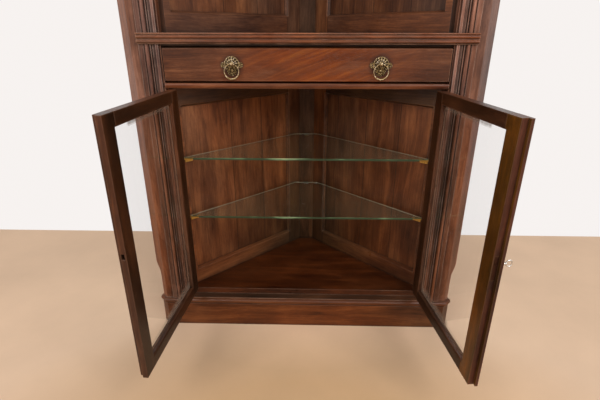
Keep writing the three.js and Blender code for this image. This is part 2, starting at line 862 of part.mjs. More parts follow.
// One leaf with its knuckles: the frame's leaf has the outer two and the pin, the door's the middle one
function hingeLeaf(onDoor, height) {
  const plate_x = onDoor
    ? [door_outer_x - hinge_leaf_thickness, door_outer_x]
    : [opening_half_width, opening_half_width + hinge_leaf_thickness];
  const third = hinge_length / 3;
  const low = height - hinge_length / 2;
  const spans = onDoor
    ? [[low + third + knuckle_running_gap, low + 2 * third - knuckle_running_gap]]
    : [[low, low + third], [low + 2 * third, low + hinge_length]];
  const plate = box([plate_x[0], seat_gap, low], [plate_x[1], hinge_leaf_width, low + hinge_length]);
  const pieces = spans.flatMap(([from, to]) => [
    rod('z', knuckle_radius, from, to, [hinge_axis_x, hinge_axis_y]),
    box([plate_x[0], hinge_axis_y, from], [plate_x[1], seat_gap + overrun, to]),
  ]);
  const leaf = join(plate, ...pieces);
  const ends = [low - hinge_finial_height, low + hinge_length + hinge_finial_height];
  if (onDoor) {
    return cut(leaf, rod('z', hinge_bore_radius, low, low + hinge_length, [hinge_axis_x, hinge_axis_y]));
  }
  const pin = rod('z', hinge_pin_radius, low, low + hinge_length, [hinge_axis_x, hinge_axis_y], 12);
  const sink = hinge_finial_height * hinge_finial_sink_share;
  const finials = ends.map((end) => new THREE.SphereGeometry(knuckle_radius * hinge_finial_share, 12, 8)
    .translate(hinge_axis_x, hinge_axis_y, end + Math.sign(height - end) * sink));
  return join(leaf, pin, ...finials);
}

// Lock, bolt and key

function boltBox() {
  const middle = lock_case_depth + lock_case_thickness / 2;
  const foot = lock_height + bolt_above_key;
  return {
    low: [door_free_x, middle - bolt_thickness / 2, foot],
    high: [door_free_x + bolt_length, middle + bolt_thickness / 2, foot + bolt_height],
  };
}

function lockCase() {
  const low = [door_free_x, lock_case_depth, lock_height - lock_case_height / 2];
  const high = [low[0] + lock_case_width, low[1] + lock_case_thickness, low[2] + lock_case_height];
  const bolt = boltBox();
  const grow = bolt_slot_gap;
  const slot = box(
    [bolt.low[0] - overrun, bolt.low[1] - grow, bolt.low[2] - grow],
    [bolt.high[0] + grow, bolt.high[1] + grow, bolt.high[2] + grow]);
  const centre = [lock_axis_x, lock_height];
  const middle = (low[1] + high[1]) / 2;
  const cavity_half = key_bit_length / 2 + key_cavity_gap;
  const cavity = rod('y', lock_cavity_radius, middle - cavity_half, middle + cavity_half, centre);
  const hole = rod('y', key_hole_radius, low[1] - overrun, high[1] - overrun, centre);
  const way_in = box(
    [lock_axis_x - key_bit_thickness, low[1] - overrun, lock_height - lock_cavity_radius],
    [lock_axis_x + key_bit_thickness, middle, lock_height]);
  return cut(box(low, high), slot, cavity, hole, way_in);
}

function lockBolt() {
  const { low, high } = boltBox();
  return box(low, high);
}

// A shank through the stile, a ring bow outside and a bit inside the case
function key() {
  const middle = lock_case_depth + lock_case_thickness / 2;
  const tip = middle + key_bit_length / 2 + key_cavity_gap / 2;
  const outer = lock_case_depth - key_reach - key_stem;
  const bit_reach = key_shank_radius + key_bit_drop;
  const shank = rod('y', key_shank_radius, outer, tip, [lock_axis_x, lock_height], 12);
  const bow = new THREE.TorusGeometry(key_bow_radius, key_bow_wire, 8, 24)
    .rotateY(Math.PI / 2)
    .translate(lock_axis_x, outer - key_bow_radius + key_bow_wire / 2, lock_height);
  const collar_start = outer + key_bow_wire;
  const collar = rod('y', key_collar_radius, collar_start, collar_start + key_collar_length,
    [lock_axis_x, lock_height], 12);
  const bit = box(
    [lock_axis_x - key_bit_thickness / 2, middle - key_bit_length / 2, lock_height - bit_reach],
    [lock_axis_x + key_bit_thickness / 2, middle + key_bit_length / 2, lock_height]);
  return join(shank, bow, collar, bit);
}

// Drawer

function drawerFront() {
  const face = -drawer_front_proud;
  const back = face + drawer_front_thickness;
  const round = drawer_front_edge_round;
  const section = outline([
    [back, drawer_front_bottom],
    [face + round, drawer_front_bottom],
    [face, drawer_front_bottom + round],
    [face, drawer_front_top - round],
    [face + round, drawer_front_top],
    [back, drawer_front_top],
  ]);
  return barAlongX(section, -drawer_half_width, drawer_half_width);
}

// The drawer narrows with the walls: its sides stand at 45 degrees
function drawerLine() {
  return wall_line_offset - drawer_wall_gap * diagonal;
}

function drawerSide(side) {
  const front = drawer_front_thickness - drawer_front_proud + seat_gap;
  const rear = front + drawer_depth - drawer_side_thickness - seat_gap;
  const outer = drawerLine();
  const thick = drawer_side_thickness * diagonal;
  const low = drawer_rail_top + seat_gap;
  return forSide(side, prism([
    [outer - front, front],
    [outer - rear, rear],
    [outer - rear - thick, rear],
    [outer - front - thick, front],
  ], low, low + drawer_front_height - drawer_box_drop));
}

function drawerBack() {
  const rear = drawer_front_thickness - drawer_front_proud + seat_gap + drawer_depth;
  const near = rear - drawer_side_thickness;
  const outer = drawerLine();
  const low = drawer_rail_top + seat_gap;
  const plank = prism([
    [outer - near, near], [outer - rear, rear], [rear - outer, rear], [near - outer, near],
  ], low, low + drawer_front_height - drawer_box_drop);
  const gap = drawer_side_gap;
  const notch = box(
    [-runner_width / 2 - gap, near - overrun, low - overrun],
    [runner_width / 2 + gap, rear + overrun, drawer_rail_top + runner_height + gap]);
  return cut(plank, notch);
}

function drawerBase() {
  const front = drawer_front_thickness - drawer_front_proud + seat_gap;
  const rear = front + drawer_depth - drawer_side_thickness - seat_gap * 2;
  const inner = drawerLine() - (drawer_side_thickness + seat_gap) * diagonal;
  const low = drawer_rail_top + runner_height + drawer_base_gap;
  return prism([
    [inner - front, front], [inner - rear, rear], [rear - inner, rear], [front - inner, front],
  ], low, low + drawer_base_thickness);
}

// Ring pulls

// A plate with a domed top and two round pierced ears, and a post with an eye for the ring
function pullPlate() {
  const half = pull_plate_width / 2;
  const ear = pull_ear_radius;
  const dome = half * pull_dome_share;
  const shoulder = pull_plate_rise * pull_shoulder_share;
  const plate = new THREE.Shape();
  plate.moveTo(-half + ear, -pull_plate_drop);
  plate.lineTo(half - ear, -pull_plate_drop);
  plate.absarc(half - ear, ear - pull_plate_drop, ear, -Math.PI / 2, Math.PI / 2, false);
  plate.bezierCurveTo(half - ear, shoulder, dome, pull_plate_rise, 0, pull_plate_rise);
  plate.bezierCurveTo(-dome, pull_plate_rise, ear - half, shoulder, ear - half, 2 * ear - pull_plate_drop);
  plate.absarc(ear - half, ear - pull_plate_drop, ear, Math.PI / 2, (3 * Math.PI) / 2, false);
  for (const side of [-1, 1]) {
    const hole = new THREE.Path();
    hole.absarc(side * (half - ear), ear - pull_plate_drop, pull_ear_hole_radius, 0, 2 * Math.PI, true);
    plate.holes.push(hole);
  }
  const options = { depth: pull_plate_thickness, bevelEnabled: false, curveSegments: 8 };
  const sheet = new THREE.ExtrudeGeometry(plate, options).rotateX(Math.PI / 2)
    .translate(0, pull_face, pull_post_height);
  const head = new THREE.SphereGeometry(pull_post_radius, 16, 10).translate(0, ring_axis_y, pull_post_height);
  const stem = rod('y', pull_stem_radius, ring_axis_y, pull_face - pull_plate_thickness / 2,
    [0, pull_post_height], 14);
  const eye = rod('x', pull_eye_radius, -pull_post_radius - overrun, pull_post_radius + overrun,
    [ring_axis_y, pull_post_height], 14);
  return cut(join(sheet, head, stem), eye);
}

function pullRing() {
  return new THREE.TorusGeometry(ring_radius, ring_wire_radius, 8, 28)
    .rotateX(Math.PI / 2)
    .translate(0, ring_axis_y, pull_post_height - ring_radius);
}

// Assembly

addPiece(cabinet, 'plinth', plinth(), mahogany);
addPiece(cabinet, 'base_moulding', baseMoulding(), mahogany);
addPiece(cabinet, 'floor_board', floorBoard(), panel_mahogany);
addPiece(cabinet, 'sill_rail', sillRail(), dark_mahogany);
addPiece(cabinet, 'waist_board', waistBoard(), mahogany);
addPiece(cabinet, 'waist_moulding', waistMoulding(), mahogany);
addPiece(cabinet, 'waist_rail', waistRail(), dark_mahogany);
addPiece(cabinet, 'drawer_rail', drawerRail(), mahogany);
addPiece(cabinet, 'dust_board', dustBoard(), drawer_wood);
addPiece(cabinet, 'corner_board', cornerBoard(), dark_mahogany);
addPiece(cabinet, 'cornice', cornice(), mahogany);
addPiece(cabinet, 'top_board', topBoard(), dark_mahogany);
addPiece(cabinet, 'lower_glass_shelf', glassShelf(lower_glass_height), clear_glass);
addPiece(cabinet, 'upper_glass_shelf', glassShelf(upper_glass_height), clear_glass);
display_shelf_shares.forEach((share, i) => {
  const height = waist_height + share * (top_board_height - waist_height);
  addPiece(cabinet, `${['lower', 'upper'][i]}_display_shelf`, displayShelf(height), mahogany);
});
[['lower', lower_glass_height], ['upper', upper_glass_height]].forEach(([level, height]) => {
  addPiece(cabinet, `${level}_rear_clip`, rearClip(height), brass);
});

for (const side of [-1, 1]) {
  const name = sideName(side);
  addPiece(cabinet, `${name}_stile`, stile(side), mahogany);
  addPiece(cabinet, `${name}_pilaster`, pilaster(side), mahogany);
  addPiece(cabinet, `${name}_wall_frame`, wallFrame(side), panel_mahogany);
  addPiece(cabinet, `${name}_wall_panel`, wallPanel(side), panel_mahogany);
  [['lower', lower_glass_height], ['upper', upper_glass_height]].forEach(([level, height]) => {
    addPiece(cabinet, `${name}_${level}_clip`, shelfClip(side, height), brass);
  });
  const door = new THREE.Group();
  door.position.set(side * hinge_axis_x, hinge_axis_y, 0);
  door.rotation.z = side > 0 ? right_open_angle : -left_open_angle;
  cabinet.add(door);
  const addDoorPiece = (piece, geometry, finish) => {
    addPiece(door, piece, geometry.translate(-side * hinge_axis_x, -hinge_axis_y, 0), finish);
  };
  addDoorPiece(`${name}_door_hinge_stile`, forSide(side, hingeStile()), dark_mahogany);
  addDoorPiece(`${name}_door_free_stile`, side > 0 ? rightFreeStile() : leftFreeStile(), dark_mahogany);
  addDoorPiece(`${name}_door_top_rail`,
    forSide(side, doorRail(door_top_height - door_top_rail, door_top_height)), dark_mahogany);
  addDoorPiece(`${name}_door_bottom_rail`,
    forSide(side, doorRail(door_bottom, door_bottom + door_bottom_rail)), dark_mahogany);
  addDoorPiece(`${name}_door_glass`, forSide(side, doorPane()), clear_glass);
  hingeHeights().forEach((height, i) => {
    const level = ['lower', 'upper'][i];
    addPiece(cabinet, `${name}_${level}_frame_hinge`, forSide(side, hingeLeaf(false, height)), brass);
    addDoorPiece(`${name}_${level}_door_hinge`, forSide(side, hingeLeaf(true, height)), brass);
  });
  if (side > 0) {
    addDoorPiece('lock_case', lockCase(), steel);
    addDoorPiece('lock_bolt', lockBolt(), steel);
    addDoorPiece('key', key(), steel);
  }
  addPiece(cabinet, `${name}_drawer_side`, drawerSide(side), drawer_wood);
  addPiece(cabinet, `${name}_pull_plate`, pullPlate().translate(side * pull_half_spacing, 0, 0), brass);
  addPiece(cabinet, `${name}_pull_ring`, pullRing().translate(side * pull_half_spacing, 0, 0), brass);
}
addPiece(cabinet, 'drawer_front', drawerFront(), mahogany);
addPiece(cabinet, 'drawer_back', drawerBack(), drawer_wood);
addPiece(cabinet, 'drawer_base', drawerBase(), drawer_wood);

export default cabinet;
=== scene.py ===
from functools import partial
from itertools import product
from math import cos, pi, radians, sin, sqrt

import bmesh
import bpy
from mathutils import Euler, Matrix, Vector


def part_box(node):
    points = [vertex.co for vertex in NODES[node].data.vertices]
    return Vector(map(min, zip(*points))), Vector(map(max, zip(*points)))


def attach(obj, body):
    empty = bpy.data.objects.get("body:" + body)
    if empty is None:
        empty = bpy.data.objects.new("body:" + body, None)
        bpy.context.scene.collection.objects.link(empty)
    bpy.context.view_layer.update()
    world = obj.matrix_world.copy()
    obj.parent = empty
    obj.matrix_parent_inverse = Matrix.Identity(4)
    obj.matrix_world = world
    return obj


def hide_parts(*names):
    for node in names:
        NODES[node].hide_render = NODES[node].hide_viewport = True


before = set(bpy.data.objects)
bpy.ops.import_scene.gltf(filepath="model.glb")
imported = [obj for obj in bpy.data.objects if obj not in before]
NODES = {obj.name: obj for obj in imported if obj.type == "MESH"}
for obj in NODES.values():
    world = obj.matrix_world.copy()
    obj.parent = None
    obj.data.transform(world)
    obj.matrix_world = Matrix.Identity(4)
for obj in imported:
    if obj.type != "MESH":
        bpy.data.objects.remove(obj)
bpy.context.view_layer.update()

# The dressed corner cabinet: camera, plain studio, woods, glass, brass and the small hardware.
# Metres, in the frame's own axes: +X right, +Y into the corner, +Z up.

SIDES = {"left": -1, "right": 1}
LEVELS = ("lower", "upper")
WHITE = (1.0, 1.0, 1.0, 1)

# Camera, as solved from the photograph's lines
IMAGE_WIDTH = 600
FOCAL_PIXELS = 410.3
SENSOR_WIDTH = 36.0
CAMERA_PLACE = (0.0110, -1.0906, 0.8858)
CAMERA_PITCH = radians(22.167)
CAMERA_YAW = radians(1.368)
CAMERA_ROLL = radians(0.071)

# Studio
FLOOR_HALF_WIDTH = 3.2
FLOOR_FRONT = -9.0
FLOOR_BACK = 0.665
FLOOR_COLOUR = (0.685, 0.475, 0.322, 1)
FLOOR_NEAR_COLOUR = (0.635, 0.395, 0.210, 1)
FLOOR_CLOUD = (0.92, 1.06)
FLOOR_NEAR = (-0.36, 0.42, 0.12)
# A painted pool of light close under the cabinet: its middle, where it fades, and how much lighter
FLOOR_PAINTED_LIGHT = (0.0, 0.20, 0.05, 1.0, 1.26)
BACKDROP_COLOUR = (0.93, 0.89, 0.87, 1)
FILL_COLOUR = (1.0, 0.98, 0.96, 1)
FILL_STRENGTH = 0.50

# Lamps: name, place, the point each is aimed at, size and energy
LAMPS = (
    ("left", (-1.6, -2.3, 2.4), (0, 0, 0.6), 1.4, 44),
    ("right", (1.6, -2.3, 2.3), (0, 0, 0.6), 1.4, 54),
    ("rear", (0.5, 2.4, 2.6), (0, 0.1, 1.0), 2.0, 25),
)

# How far the doors stand open at rest, turned about +Z
OPEN = {"left": -radians(94), "right": radians(97)}

# Rounded arrises, pale arrises from edge wear and painted highlight, and painted shade with dirt in the
# crevices
ARRIS = 0.0009
METAL_ARRIS = 0.0003
LOCK_ARRIS = 0.0002
ARRIS_SEGMENTS = 2
ARRIS_ANGLE = radians(38)
WELD_REACH = 1e-5
SMOOTH_ANGLE = radians(50)
WEAR_AND_HIGHLIGHT_RADIUS = 0.004
WEAR_AND_HIGHLIGHT_SPAN = (0.995, 0.86)
CREVICE_REACH = 0.02
CREVICE_SPAN = (0.80, 0.35)

# Grain as noise along X: (scale, detail, roughness, warp)
RIBBONS = ((2.6, 34.0, 34.0), 5.0, 0.66, 0.4)
STREAKS = ((9.0, 300.0, 300.0), 4.0, 0.7)
PORES = ((90.0, 1700.0, 1700.0), 2.0, 0.5)
CLOUDS = ((4.5, 11.0, 11.0), 5.0, 0.62)
WARMTH = ((1.7, 4.6, 4.6), 3.0, 0.5)
WARM_TINTS = ((0.80, 0.88, 1.0, 1), (1.22, 1.04, 0.82, 1))
SWAY = (2.6, 9.0, 9.0)
SWAY_REACH = 0.05
PIECE_SHIFT = (31.0, 17.0, 23.0)
GRAIN_X = (0.0, 0.0, 0.0)
GRAIN_Z = (0.0, pi / 2, 0.0)

# Mahogany tones: (dark, middle, light, worn edge with painted highlight)
FRONT_TONES = ((0.034, 0.008, 0.003), (0.125, 0.034, 0.010), (0.270, 0.088, 0.030), (0.52, 0.29, 0.19))
STILE_TONES = ((0.034, 0.010, 0.005), (0.135, 0.045, 0.020), (0.290, 0.115, 0.060), (0.54, 0.34, 0.26))
FLUTE_TONES = ((0.028, 0.010, 0.006), (0.120, 0.045, 0.023), (0.260, 0.110, 0.062), (0.55, 0.40, 0.33))
PLINTH_TONES = ((0.032, 0.009, 0.003), (0.098, 0.028, 0.008), (0.190, 0.063, 0.019), (0.42, 0.27, 0.19))
DARK_TONES = ((0.010, 0.003, 0.001), (0.030, 0.010, 0.004), (0.070, 0.025, 0.009), (0.26, 0.15, 0.10))
CORNER_TONES = ((0.024, 0.011, 0.005), (0.076, 0.031, 0.014), (0.146, 0.063, 0.029), (0.20, 0.11, 0.06))
DOOR_TONES = ((0.012, 0.005, 0.002), (0.037, 0.014, 0.006), (0.085, 0.032, 0.013), (0.16, 0.080, 0.045))
DOOR_EDGE_TONES = ((0.018, 0.006, 0.003), (0.062, 0.022, 0.010), (0.145, 0.055, 0.025), (0.20, 0.11, 0.07))
LAP_EDGE_TONES = ((0.022, 0.006, 0.003), (0.072, 0.019, 0.008), (0.150, 0.044, 0.020), (0.20, 0.09, 0.05))
# The right wall's tones are darker than the left's: painted shade on that wall
PANEL_TONES = {
    "left": ((0.046, 0.014, 0.006), (0.140, 0.046, 0.017), (0.275, 0.100, 0.037), (0.28, 0.13, 0.07)),
    "right": ((0.030, 0.010, 0.005), (0.094, 0.031, 0.012), (0.205, 0.074, 0.027), (0.26, 0.12, 0.06)),
}
OLIVE_TONES = ((0.030, 0.012, 0.002), (0.108, 0.039, 0.005), (0.260, 0.085, 0.009), (0.16, 0.08, 0.03))
FLOOR_TONES = ((0.014, 0.003, 0.001), (0.048, 0.012, 0.003), (0.110, 0.030, 0.008), (0.26, 0.16, 0.10))
RAW_TONES = ((0.13, 0.072, 0.036), (0.25, 0.150, 0.080), (0.36, 0.235, 0.135), (0.45, 0.30, 0.18))
WOOD_SPECULAR = 0.22
CORNER_SPECULAR = 0.08
# Dark dirt; it also paints shade in the crevices and shadow round the pulls, and darkens the joints
DIRT_AND_SHADE_COLOUR = (0.010, 0.005, 0.003, 1)

# Painted sheen, paler and greyer higher up: the heights between which it sets in, and the tint it gives
SHEEN_RISE = (0.66, 0.78)
STILE_SHEEN = (1.32, 1.68, 2.20, 1)
FLUTE_SHEEN = (1.60, 1.90, 2.45, 1)

# Wall panels, painted light and shade: where they turn paler and dark again on the way up, and the two tints
PANEL_RISE = ((0.48, 0.64), (0.92, 0.76))
PANEL_LIGHT_AND_SHADE = ((0.88, 0.88, 0.90, 1), (1.36, 1.55, 1.80, 1))

# Flutes and beads: the depths of hollow and crest, and how dark and pale those are, as painted shade in the
# hollows and painted highlight on the crests
FLUTE_REACH = (-0.0035, -0.0098)
FLUTE_SHADE_AND_HIGHLIGHT = (0.42, 1.15)
WAIST_REACH = (-0.0122, -0.0166)
WAIST_SHADE_AND_HIGHLIGHT = (0.12, 1.30)
# Heights over which the foot of the waist moulding darkens with painted shade
WAIST_SHADED_FOOT = (0.8615, 0.8690)

# Drawer front: its greyer ends, the figure in the middle, and the darkening round each pull, dirt and
# painted shadow
GREY_ENDS_TINT = (0.66, 0.88, 1.35, 1)
FLAME_LEAN = radians(20)
FLAMES = ((7.0, 110.0, 110.0), 5.0, 0.66, 0.6)
FLAME_PATCHES = ((4.0, 15.0, 15.0), 3.0)
FLAME_STOPS = [(0.28, (0.085, 0.015, 0.002)), (0.52, (0.165, 0.034, 0.004)), (0.74, (0.260, 0.068, 0.008))]
FLAME_PLACE = 0.02
FLAME_REACH = (0.30, 0.06)
PULL_DIRT_AND_SHADOW_DROP = 0.005
PULL_DIRT_AND_SHADOW_REACH = (0.034, 0.019)

# Wall boards and frames: joints, stock, and where the stiles at both ends of a frame meet its rails
BOARD_JOINTS = {"left": (0.070, 0.148, 0.232), "right": (0.105, 0.189, 0.276)}
BOARD_STEPS = (0.16, -0.20, 0.12)
JOINT_HALF_WIDTH = 0.0008
FRAME_STOCK = 0.012
PANEL_STOCK = 0.008
STILE_ENDS = (0.0635, 0.3555)
RAIL_SPAN = (0.694, 0.780)

# Painted light and shade on the walls: shade near the front and low in the angle, light and shade on the
# inner stiles, light and sheen above the waist, shade right under it
STILE_SHADE = (0.50, 0.66, 1.0, 1)
CORNER_SHADE_SPAN = (0.26, 0.07)
CORNER_SHADE_RISE = (0.42, 0.24)
CORNER_SHADE_TINT = (0.47, 0.62, 0.76, 1)
INNER_STILE_RISE = (0.55, 0.68)
INNER_STILE_LIGHT_AND_SHADE = {"left": ((0.62, 0.72, 0.85, 1), (0.78, 0.92, 1.15, 1)),
                     "right": (WHITE, (1.45, 1.70, 1.95, 1))}
UPPER_RAIL_LIGHT_AND_SHEEN = {"left": (0.78, 0.96, 1.35, 1), "right": (1.40, 1.55, 1.80, 1)}
UPPER_PANEL_SHEEN = (1.0, 1.18, 1.45, 1)
UNDER_WAIST_SHADE = (0.56, 0.74, 0.87, 1)

# Metals: clean and aged colours, least and most roughness
BRASS = ((0.60, 0.44, 0.17), (0.060, 0.040, 0.016), 0.24, 0.46)
STEEL = ((0.72, 0.70, 0.66), (0.20, 0.17, 0.14), 0.16, 0.34)
IRON = ((0.062, 0.026, 0.016), (0.024, 0.010, 0.006), 0.45, 0.65)
CLIP_BRASS = ((0.60, 0.36, 0.09), (0.070, 0.040, 0.012), 0.26, 0.46)
# Clip brass darkened for the rear clips: painted shade
SHADED_CLIP_BRASS = ((0.150, 0.105, 0.050), (0.040, 0.026, 0.012), 0.35, 0.55)
# Brass tones of the pulls, from dark to the pale of rubbing and painted highlight
RUBBED_AND_HIGHLIGHT_STOPS = [(0.0, (0.018, 0.011, 0.006)), (0.30, (0.120, 0.076, 0.030)),
                (0.60, (0.440, 0.310, 0.145)), (1.0, (1.000, 0.880, 0.740))]

# Glass: the shelves' ground edges, with painted light and reflection, and dust, and the film and painted
# highlight line near the rails of the doors
SHELF_THICKNESS = 0.006
SHELF_UNDERSIDE = 0.3708
SHELF_SPACING = 0.1808
# Ground edge ramp, from green up to a pale painted highlight
EDGE_STOPS = [(0.44, (0.009, 0.028, 0.008)), (0.60, (0.022, 0.054, 0.020)),
              (0.74, (0.16, 0.25, 0.13)), (0.90, (0.50, 0.50, 0.26))]
# A painted glint along the front edges: where it is and how far it reaches
GLINT_PLACE = -0.045
GLINT_REACH = (0.075, 0.040)
# Paler rear edges: painted light
EDGE_REAR = (0.320, 0.270, 0.190, 1)
DUST_COLOUR = (0.27, 0.25, 0.16, 1)
DUST_SPAN = (0.05, 0.33)
DUST_AMOUNT = (0.015, 0.11)
CLIP_REACH = (0.3195, 0.045)
REAR_PLACE = CLIP_REACH[1] - 0.018
# The clips' colour in the edges beside them: a painted reflection
CLIP_REFLECTION_COLOUR = (0.42, 0.19, 0.03, 1)
REBATE_COLOUR = (0.09, 0.032, 0.014, 1)
FILM_COLOUR = (0.30, 0.22, 0.17, 1)
FILM_BANDS = ((0.7055, 0.7120), (0.1960, 0.1830))
FILM_ENDS = ((-0.262, -0.255), (-0.222, -0.205))
# A pale line along the pane's border by the hinge and the bottom: a painted highlight
PANE_HIGHLIGHT_ENDS = (-0.0468, 0.1712)
PANE_HIGHLIGHT_COLOUR = (0.42, 0.25, 0.17, 1)

# Ring pulls: the right post's place, then sizes from a post, as across, up and out to the front
POST = (0.1884, -0.0023, 0.813)
FAN_CENTRE = -0.0010
FAN_RADIUS = 0.0182
FAN_EDGE = 0.0012
FAN_BULGE = 0.0036
FAN_ARCS = ((0.0180, 0.0010, -14, 194), (0.0118, 0.0007, 6, 174))
FAN_RIBS = 7
RIB_TURNS = (10, 160)
RIB_REACH = (0.0050, 0.0130)
RIB_STEPS = 6
RIB_WIRE = (0.0004, 0.0005)
BEAD_TURN = radians(10)
EAR_PLACE = (0.0215, -0.0030)
SCROLL = ((0.0175, -0.0060), (0.0172, -0.0095), (0.0150, -0.0122), (0.0128, -0.0125), (0.0118, -0.0105))
SCROLL_REACH = 0.0016
SCROLL_WIRES = (0.0010, 0.0013, 0.0013, 0.0012, 0.0008)
ROSETTE_DROP = -0.0165
RING_AXIS = -0.0126
RING_RADIUS = 0.0183
RING_WIRE = (0.00120, 0.00235)
RING_STRANDS = 30
CAST_VOXEL = 0.00033
CAST_SOFTENING = 0.5
CAST_PASSES = 2

# Brass of the pulls: where it is rubbed pale, with painted highlight, and the low part of the plate that
# stays dark
RUBBED_AND_HIGHLIGHT_REACH = (-0.0026, -0.0050)
LOW_SPAN = (POST[2] - 0.004, POST[2] - 0.010)
PLATE_REACH = RING_AXIS + 0.004

# Turned shapes, as steps of (radius, reach to the front)
FAN_BACK = ((0, 0.0), (0.0165, 0.0), (0.0165, 0.0004), (0, 0.0005))
BEAD = ((0, 0.0002), (0.0017, 0.0004), (0.0017, 0.0012), (0.0010, 0.0024), (0, 0.0027))
EAR = ((0.0017, 0.0), (0.0070, 0.0), (0.0070, 0.0009), (0.0062, 0.0020), (0.0052, 0.0013),
       (0.0034, 0.0013), (0.0028, 0.0020), (0.0017, 0.0016))
ROSETTE = ((0, 0.0), (0.0128, 0.0), (0.0130, 0.0008), (0.0122, 0.0016), (0.0110, 0.0009),
           (0.0085, 0.0019), (0.0055, 0.0011), (0.0036, 0.0012), (0.0026, 0.0026), (0, 0.0030))
BOSS = ((0, 0.0), (0.0058, 0.0), (0.0060, 0.0036), (0.0046, 0.0050), (0.0032, 0.0056),
        (0.0026, 0.0072), (0.0032, 0.0080), (0.0042, 0.0090), (0.0046, 0.0104), (0.0042, 0.0121),
        (0.0028, 0.0134), (0, 0.0140))
RING_BEAD = ((0, -0.0030), (0.0020, -0.0026), (0.0030, 0), (0.0020, 0.0026), (0, 0.0030))
ESCUTCHEON = ((0.0030, -0.0002), (0.0056, -0.0002), (0.0056, 0.0004), (0.0050, 0.0008),
              (0.0034, 0.0006), (0.0030, 0.0003))

# Glue in the seams beside the corner board
GLUE_SLACK = 0.00001
GLUE_END = 0.004
GLUE_STEPS = 60
GLUE_FRONT = 0.0018
GLUE_WAVE = 0.0005
GLUE_REAR = 0.005

# Key, in metres along its own shank from the middle of the lock
KEY_PLACE = (0.383457, -0.353079, 0.447)
KEY_BOW = (-0.0406, 0.0066, 0.0015)
KEY_SHANK = (-0.0348, 0.0028, 0.0019)
KEY_TIP = 0.0006
KEY_COLLARS = ((0.0019, 0.007), (0.0030, 0.006), (0.0030, 0.0045), (0.0021, 0.004), (0.0032, 0.003),
               (0.0032, 0.0015), (0.0020, 0.0005), (0.0018, -0.001), (0, -0.001))
KEY_BIT = (((-0.0009, -0.00225, -0.0075), (0.0009, -0.0006, -0.0012)),
           ((-0.0009, 0.0006, -0.0075), (0.0009, 0.00225, -0.0012)),
           ((-0.0009, -0.00225, -0.0040), (0.0009, 0.00225, -0.0012)))
DOOR_FACE = -0.01375
BLOCK_FACES = ((0, 1, 3, 2), (4, 6, 7, 5), (0, 4, 5, 1), (2, 3, 7, 6), (0, 2, 6, 4), (1, 5, 7, 3))

# Hinges, lock and screws
HINGE_AXIS = (0.363, -0.008)
HINGE_LENGTH = 0.052
LEAF_MIDDLE = 0.009
FRAME_LEAF_FACE = 0.3655
DOOR_LEAF_FACE = 0.3635
SCREW_RADIUS = 0.0030
SCREW_STEPS = (0.25, 0.5, 0.75, 0.92, 1.0)
SCREW_HEIGHT = 0.00045
SCREW_DOME = 0.0003
SCREW_FOOT = -0.0003
SCREW_SPACING = 0.33
SLOT_HALF_WIDTH = 0.00045
SLOT_DEPTH = 0.0004
SLOT_TURNS = (0.5, 1.1)
LOCK_EDGE = 0.001
LOCK_DEPTH = 0.01375
LOCK_SCREW_HEIGHTS = (0.4245, 0.4707)
LOCK_SCREW_RADIUS = 0.0022


# Node trees

def node(tree, kind, inputs=None, **settings):
    made = tree.nodes.new(kind)
    for key, value in settings.items():
        setattr(made, key, value)
    for key, value in (inputs or {}).items():
        socket = made.inputs[key]
        if isinstance(value, bpy.types.NodeSocket):
            tree.links.new(value, socket)
        else:
            socket.default_value = value
    return made


def maths(operation, tree, first, second=0.0, clamp=False):
    made = node(tree, "ShaderNodeMath", {0: first, 1: second}, operation=operation, use_clamp=clamp)
    return made.outputs[0]


# Each is called as times(tree, first, second)
times = partial(maths, "MULTIPLY")
plus = partial(maths, "ADD")
minus = partial(maths, "SUBTRACT")
larger = partial(maths, "MAXIMUM")
absolute = partial(maths, "ABSOLUTE")
is_over = partial(maths, "GREATER_THAN")
is_under = partial(maths, "LESS_THAN")


def vector_maths(tree, operation, inputs):
    return node(tree, "ShaderNodeVectorMath", inputs, operation=operation).outputs


def scaled(tree, vector, scale):
    """Scales a vector or colour by one value that may vary over the surface."""
    return vector_maths(tree, "SCALE", {0: vector, "Scale": scale})[0]


def stretched(tree, vector, scale):
    return vector_maths(tree, "MULTIPLY", {0: vector, 1: scale})[0]


def split(tree, vector):
    return node(tree, "ShaderNodeSeparateXYZ", {0: vector}).outputs


def object_place(tree):
    return node(tree, "ShaderNodeTexCoord").outputs["Object"]


def object_normal(tree):
    """The three parts of the direction that the surface faces."""
    return split(tree, node(tree, "ShaderNodeTexCoord").outputs["Normal"])


def noise(tree, vector, scale, detail=3.0, rough=0.55, warp=0.0):
    return node(tree, "ShaderNodeTexNoise", {
        "Vector": stretched(tree, vector, scale), "Scale": 1.0, "Detail": detail,
        "Roughness": rough, "Distortion": warp}).outputs["Fac"]


def spread(tree, value, low, high, to_low=0.0, to_high=1.0):
    return node(tree, "ShaderNodeMapRange", {
        "Value": value, "From Min": low, "From Max": high, "To Min": to_low, "To Max": to_high,
    }).outputs["Result"]


def blended(tree, factor, first, second, mode="MIX"):
    inputs = {0: factor, 6: first, 7: second}
    return node(tree, "ShaderNodeMix", inputs, data_type="RGBA", blend_type=mode).outputs[2]


def toned(tree, colour, tint, amount=1.0):
    return blended(tree, amount, colour, tint, "MULTIPLY")


def tinted(tree, mask, colour, tint):
    return blended(tree, mask, colour, toned(tree, colour, tint))


def ramp(tree, factor, stops):
    made = node(tree, "ShaderNodeValToRGB", {"Fac": factor})
    elements = made.color_ramp.elements
    while len(elements) < len(stops):
        elements.new(0.5)
    for element, (place, colour) in zip(elements, stops):
        element.position = place
        element.color = (*colour, 1)
    return made.outputs["Color"]


def new_material(name):
    material = bpy.data.materials.new(name)
    material.use_nodes = True
    material.node_tree.nodes.clear()
    return material, material.node_tree


def bumped(tree, height, strength, distance):
    return node(tree, "ShaderNodeBump", {
        "Height": height, "Strength": strength, "Distance": distance}).outputs[0]


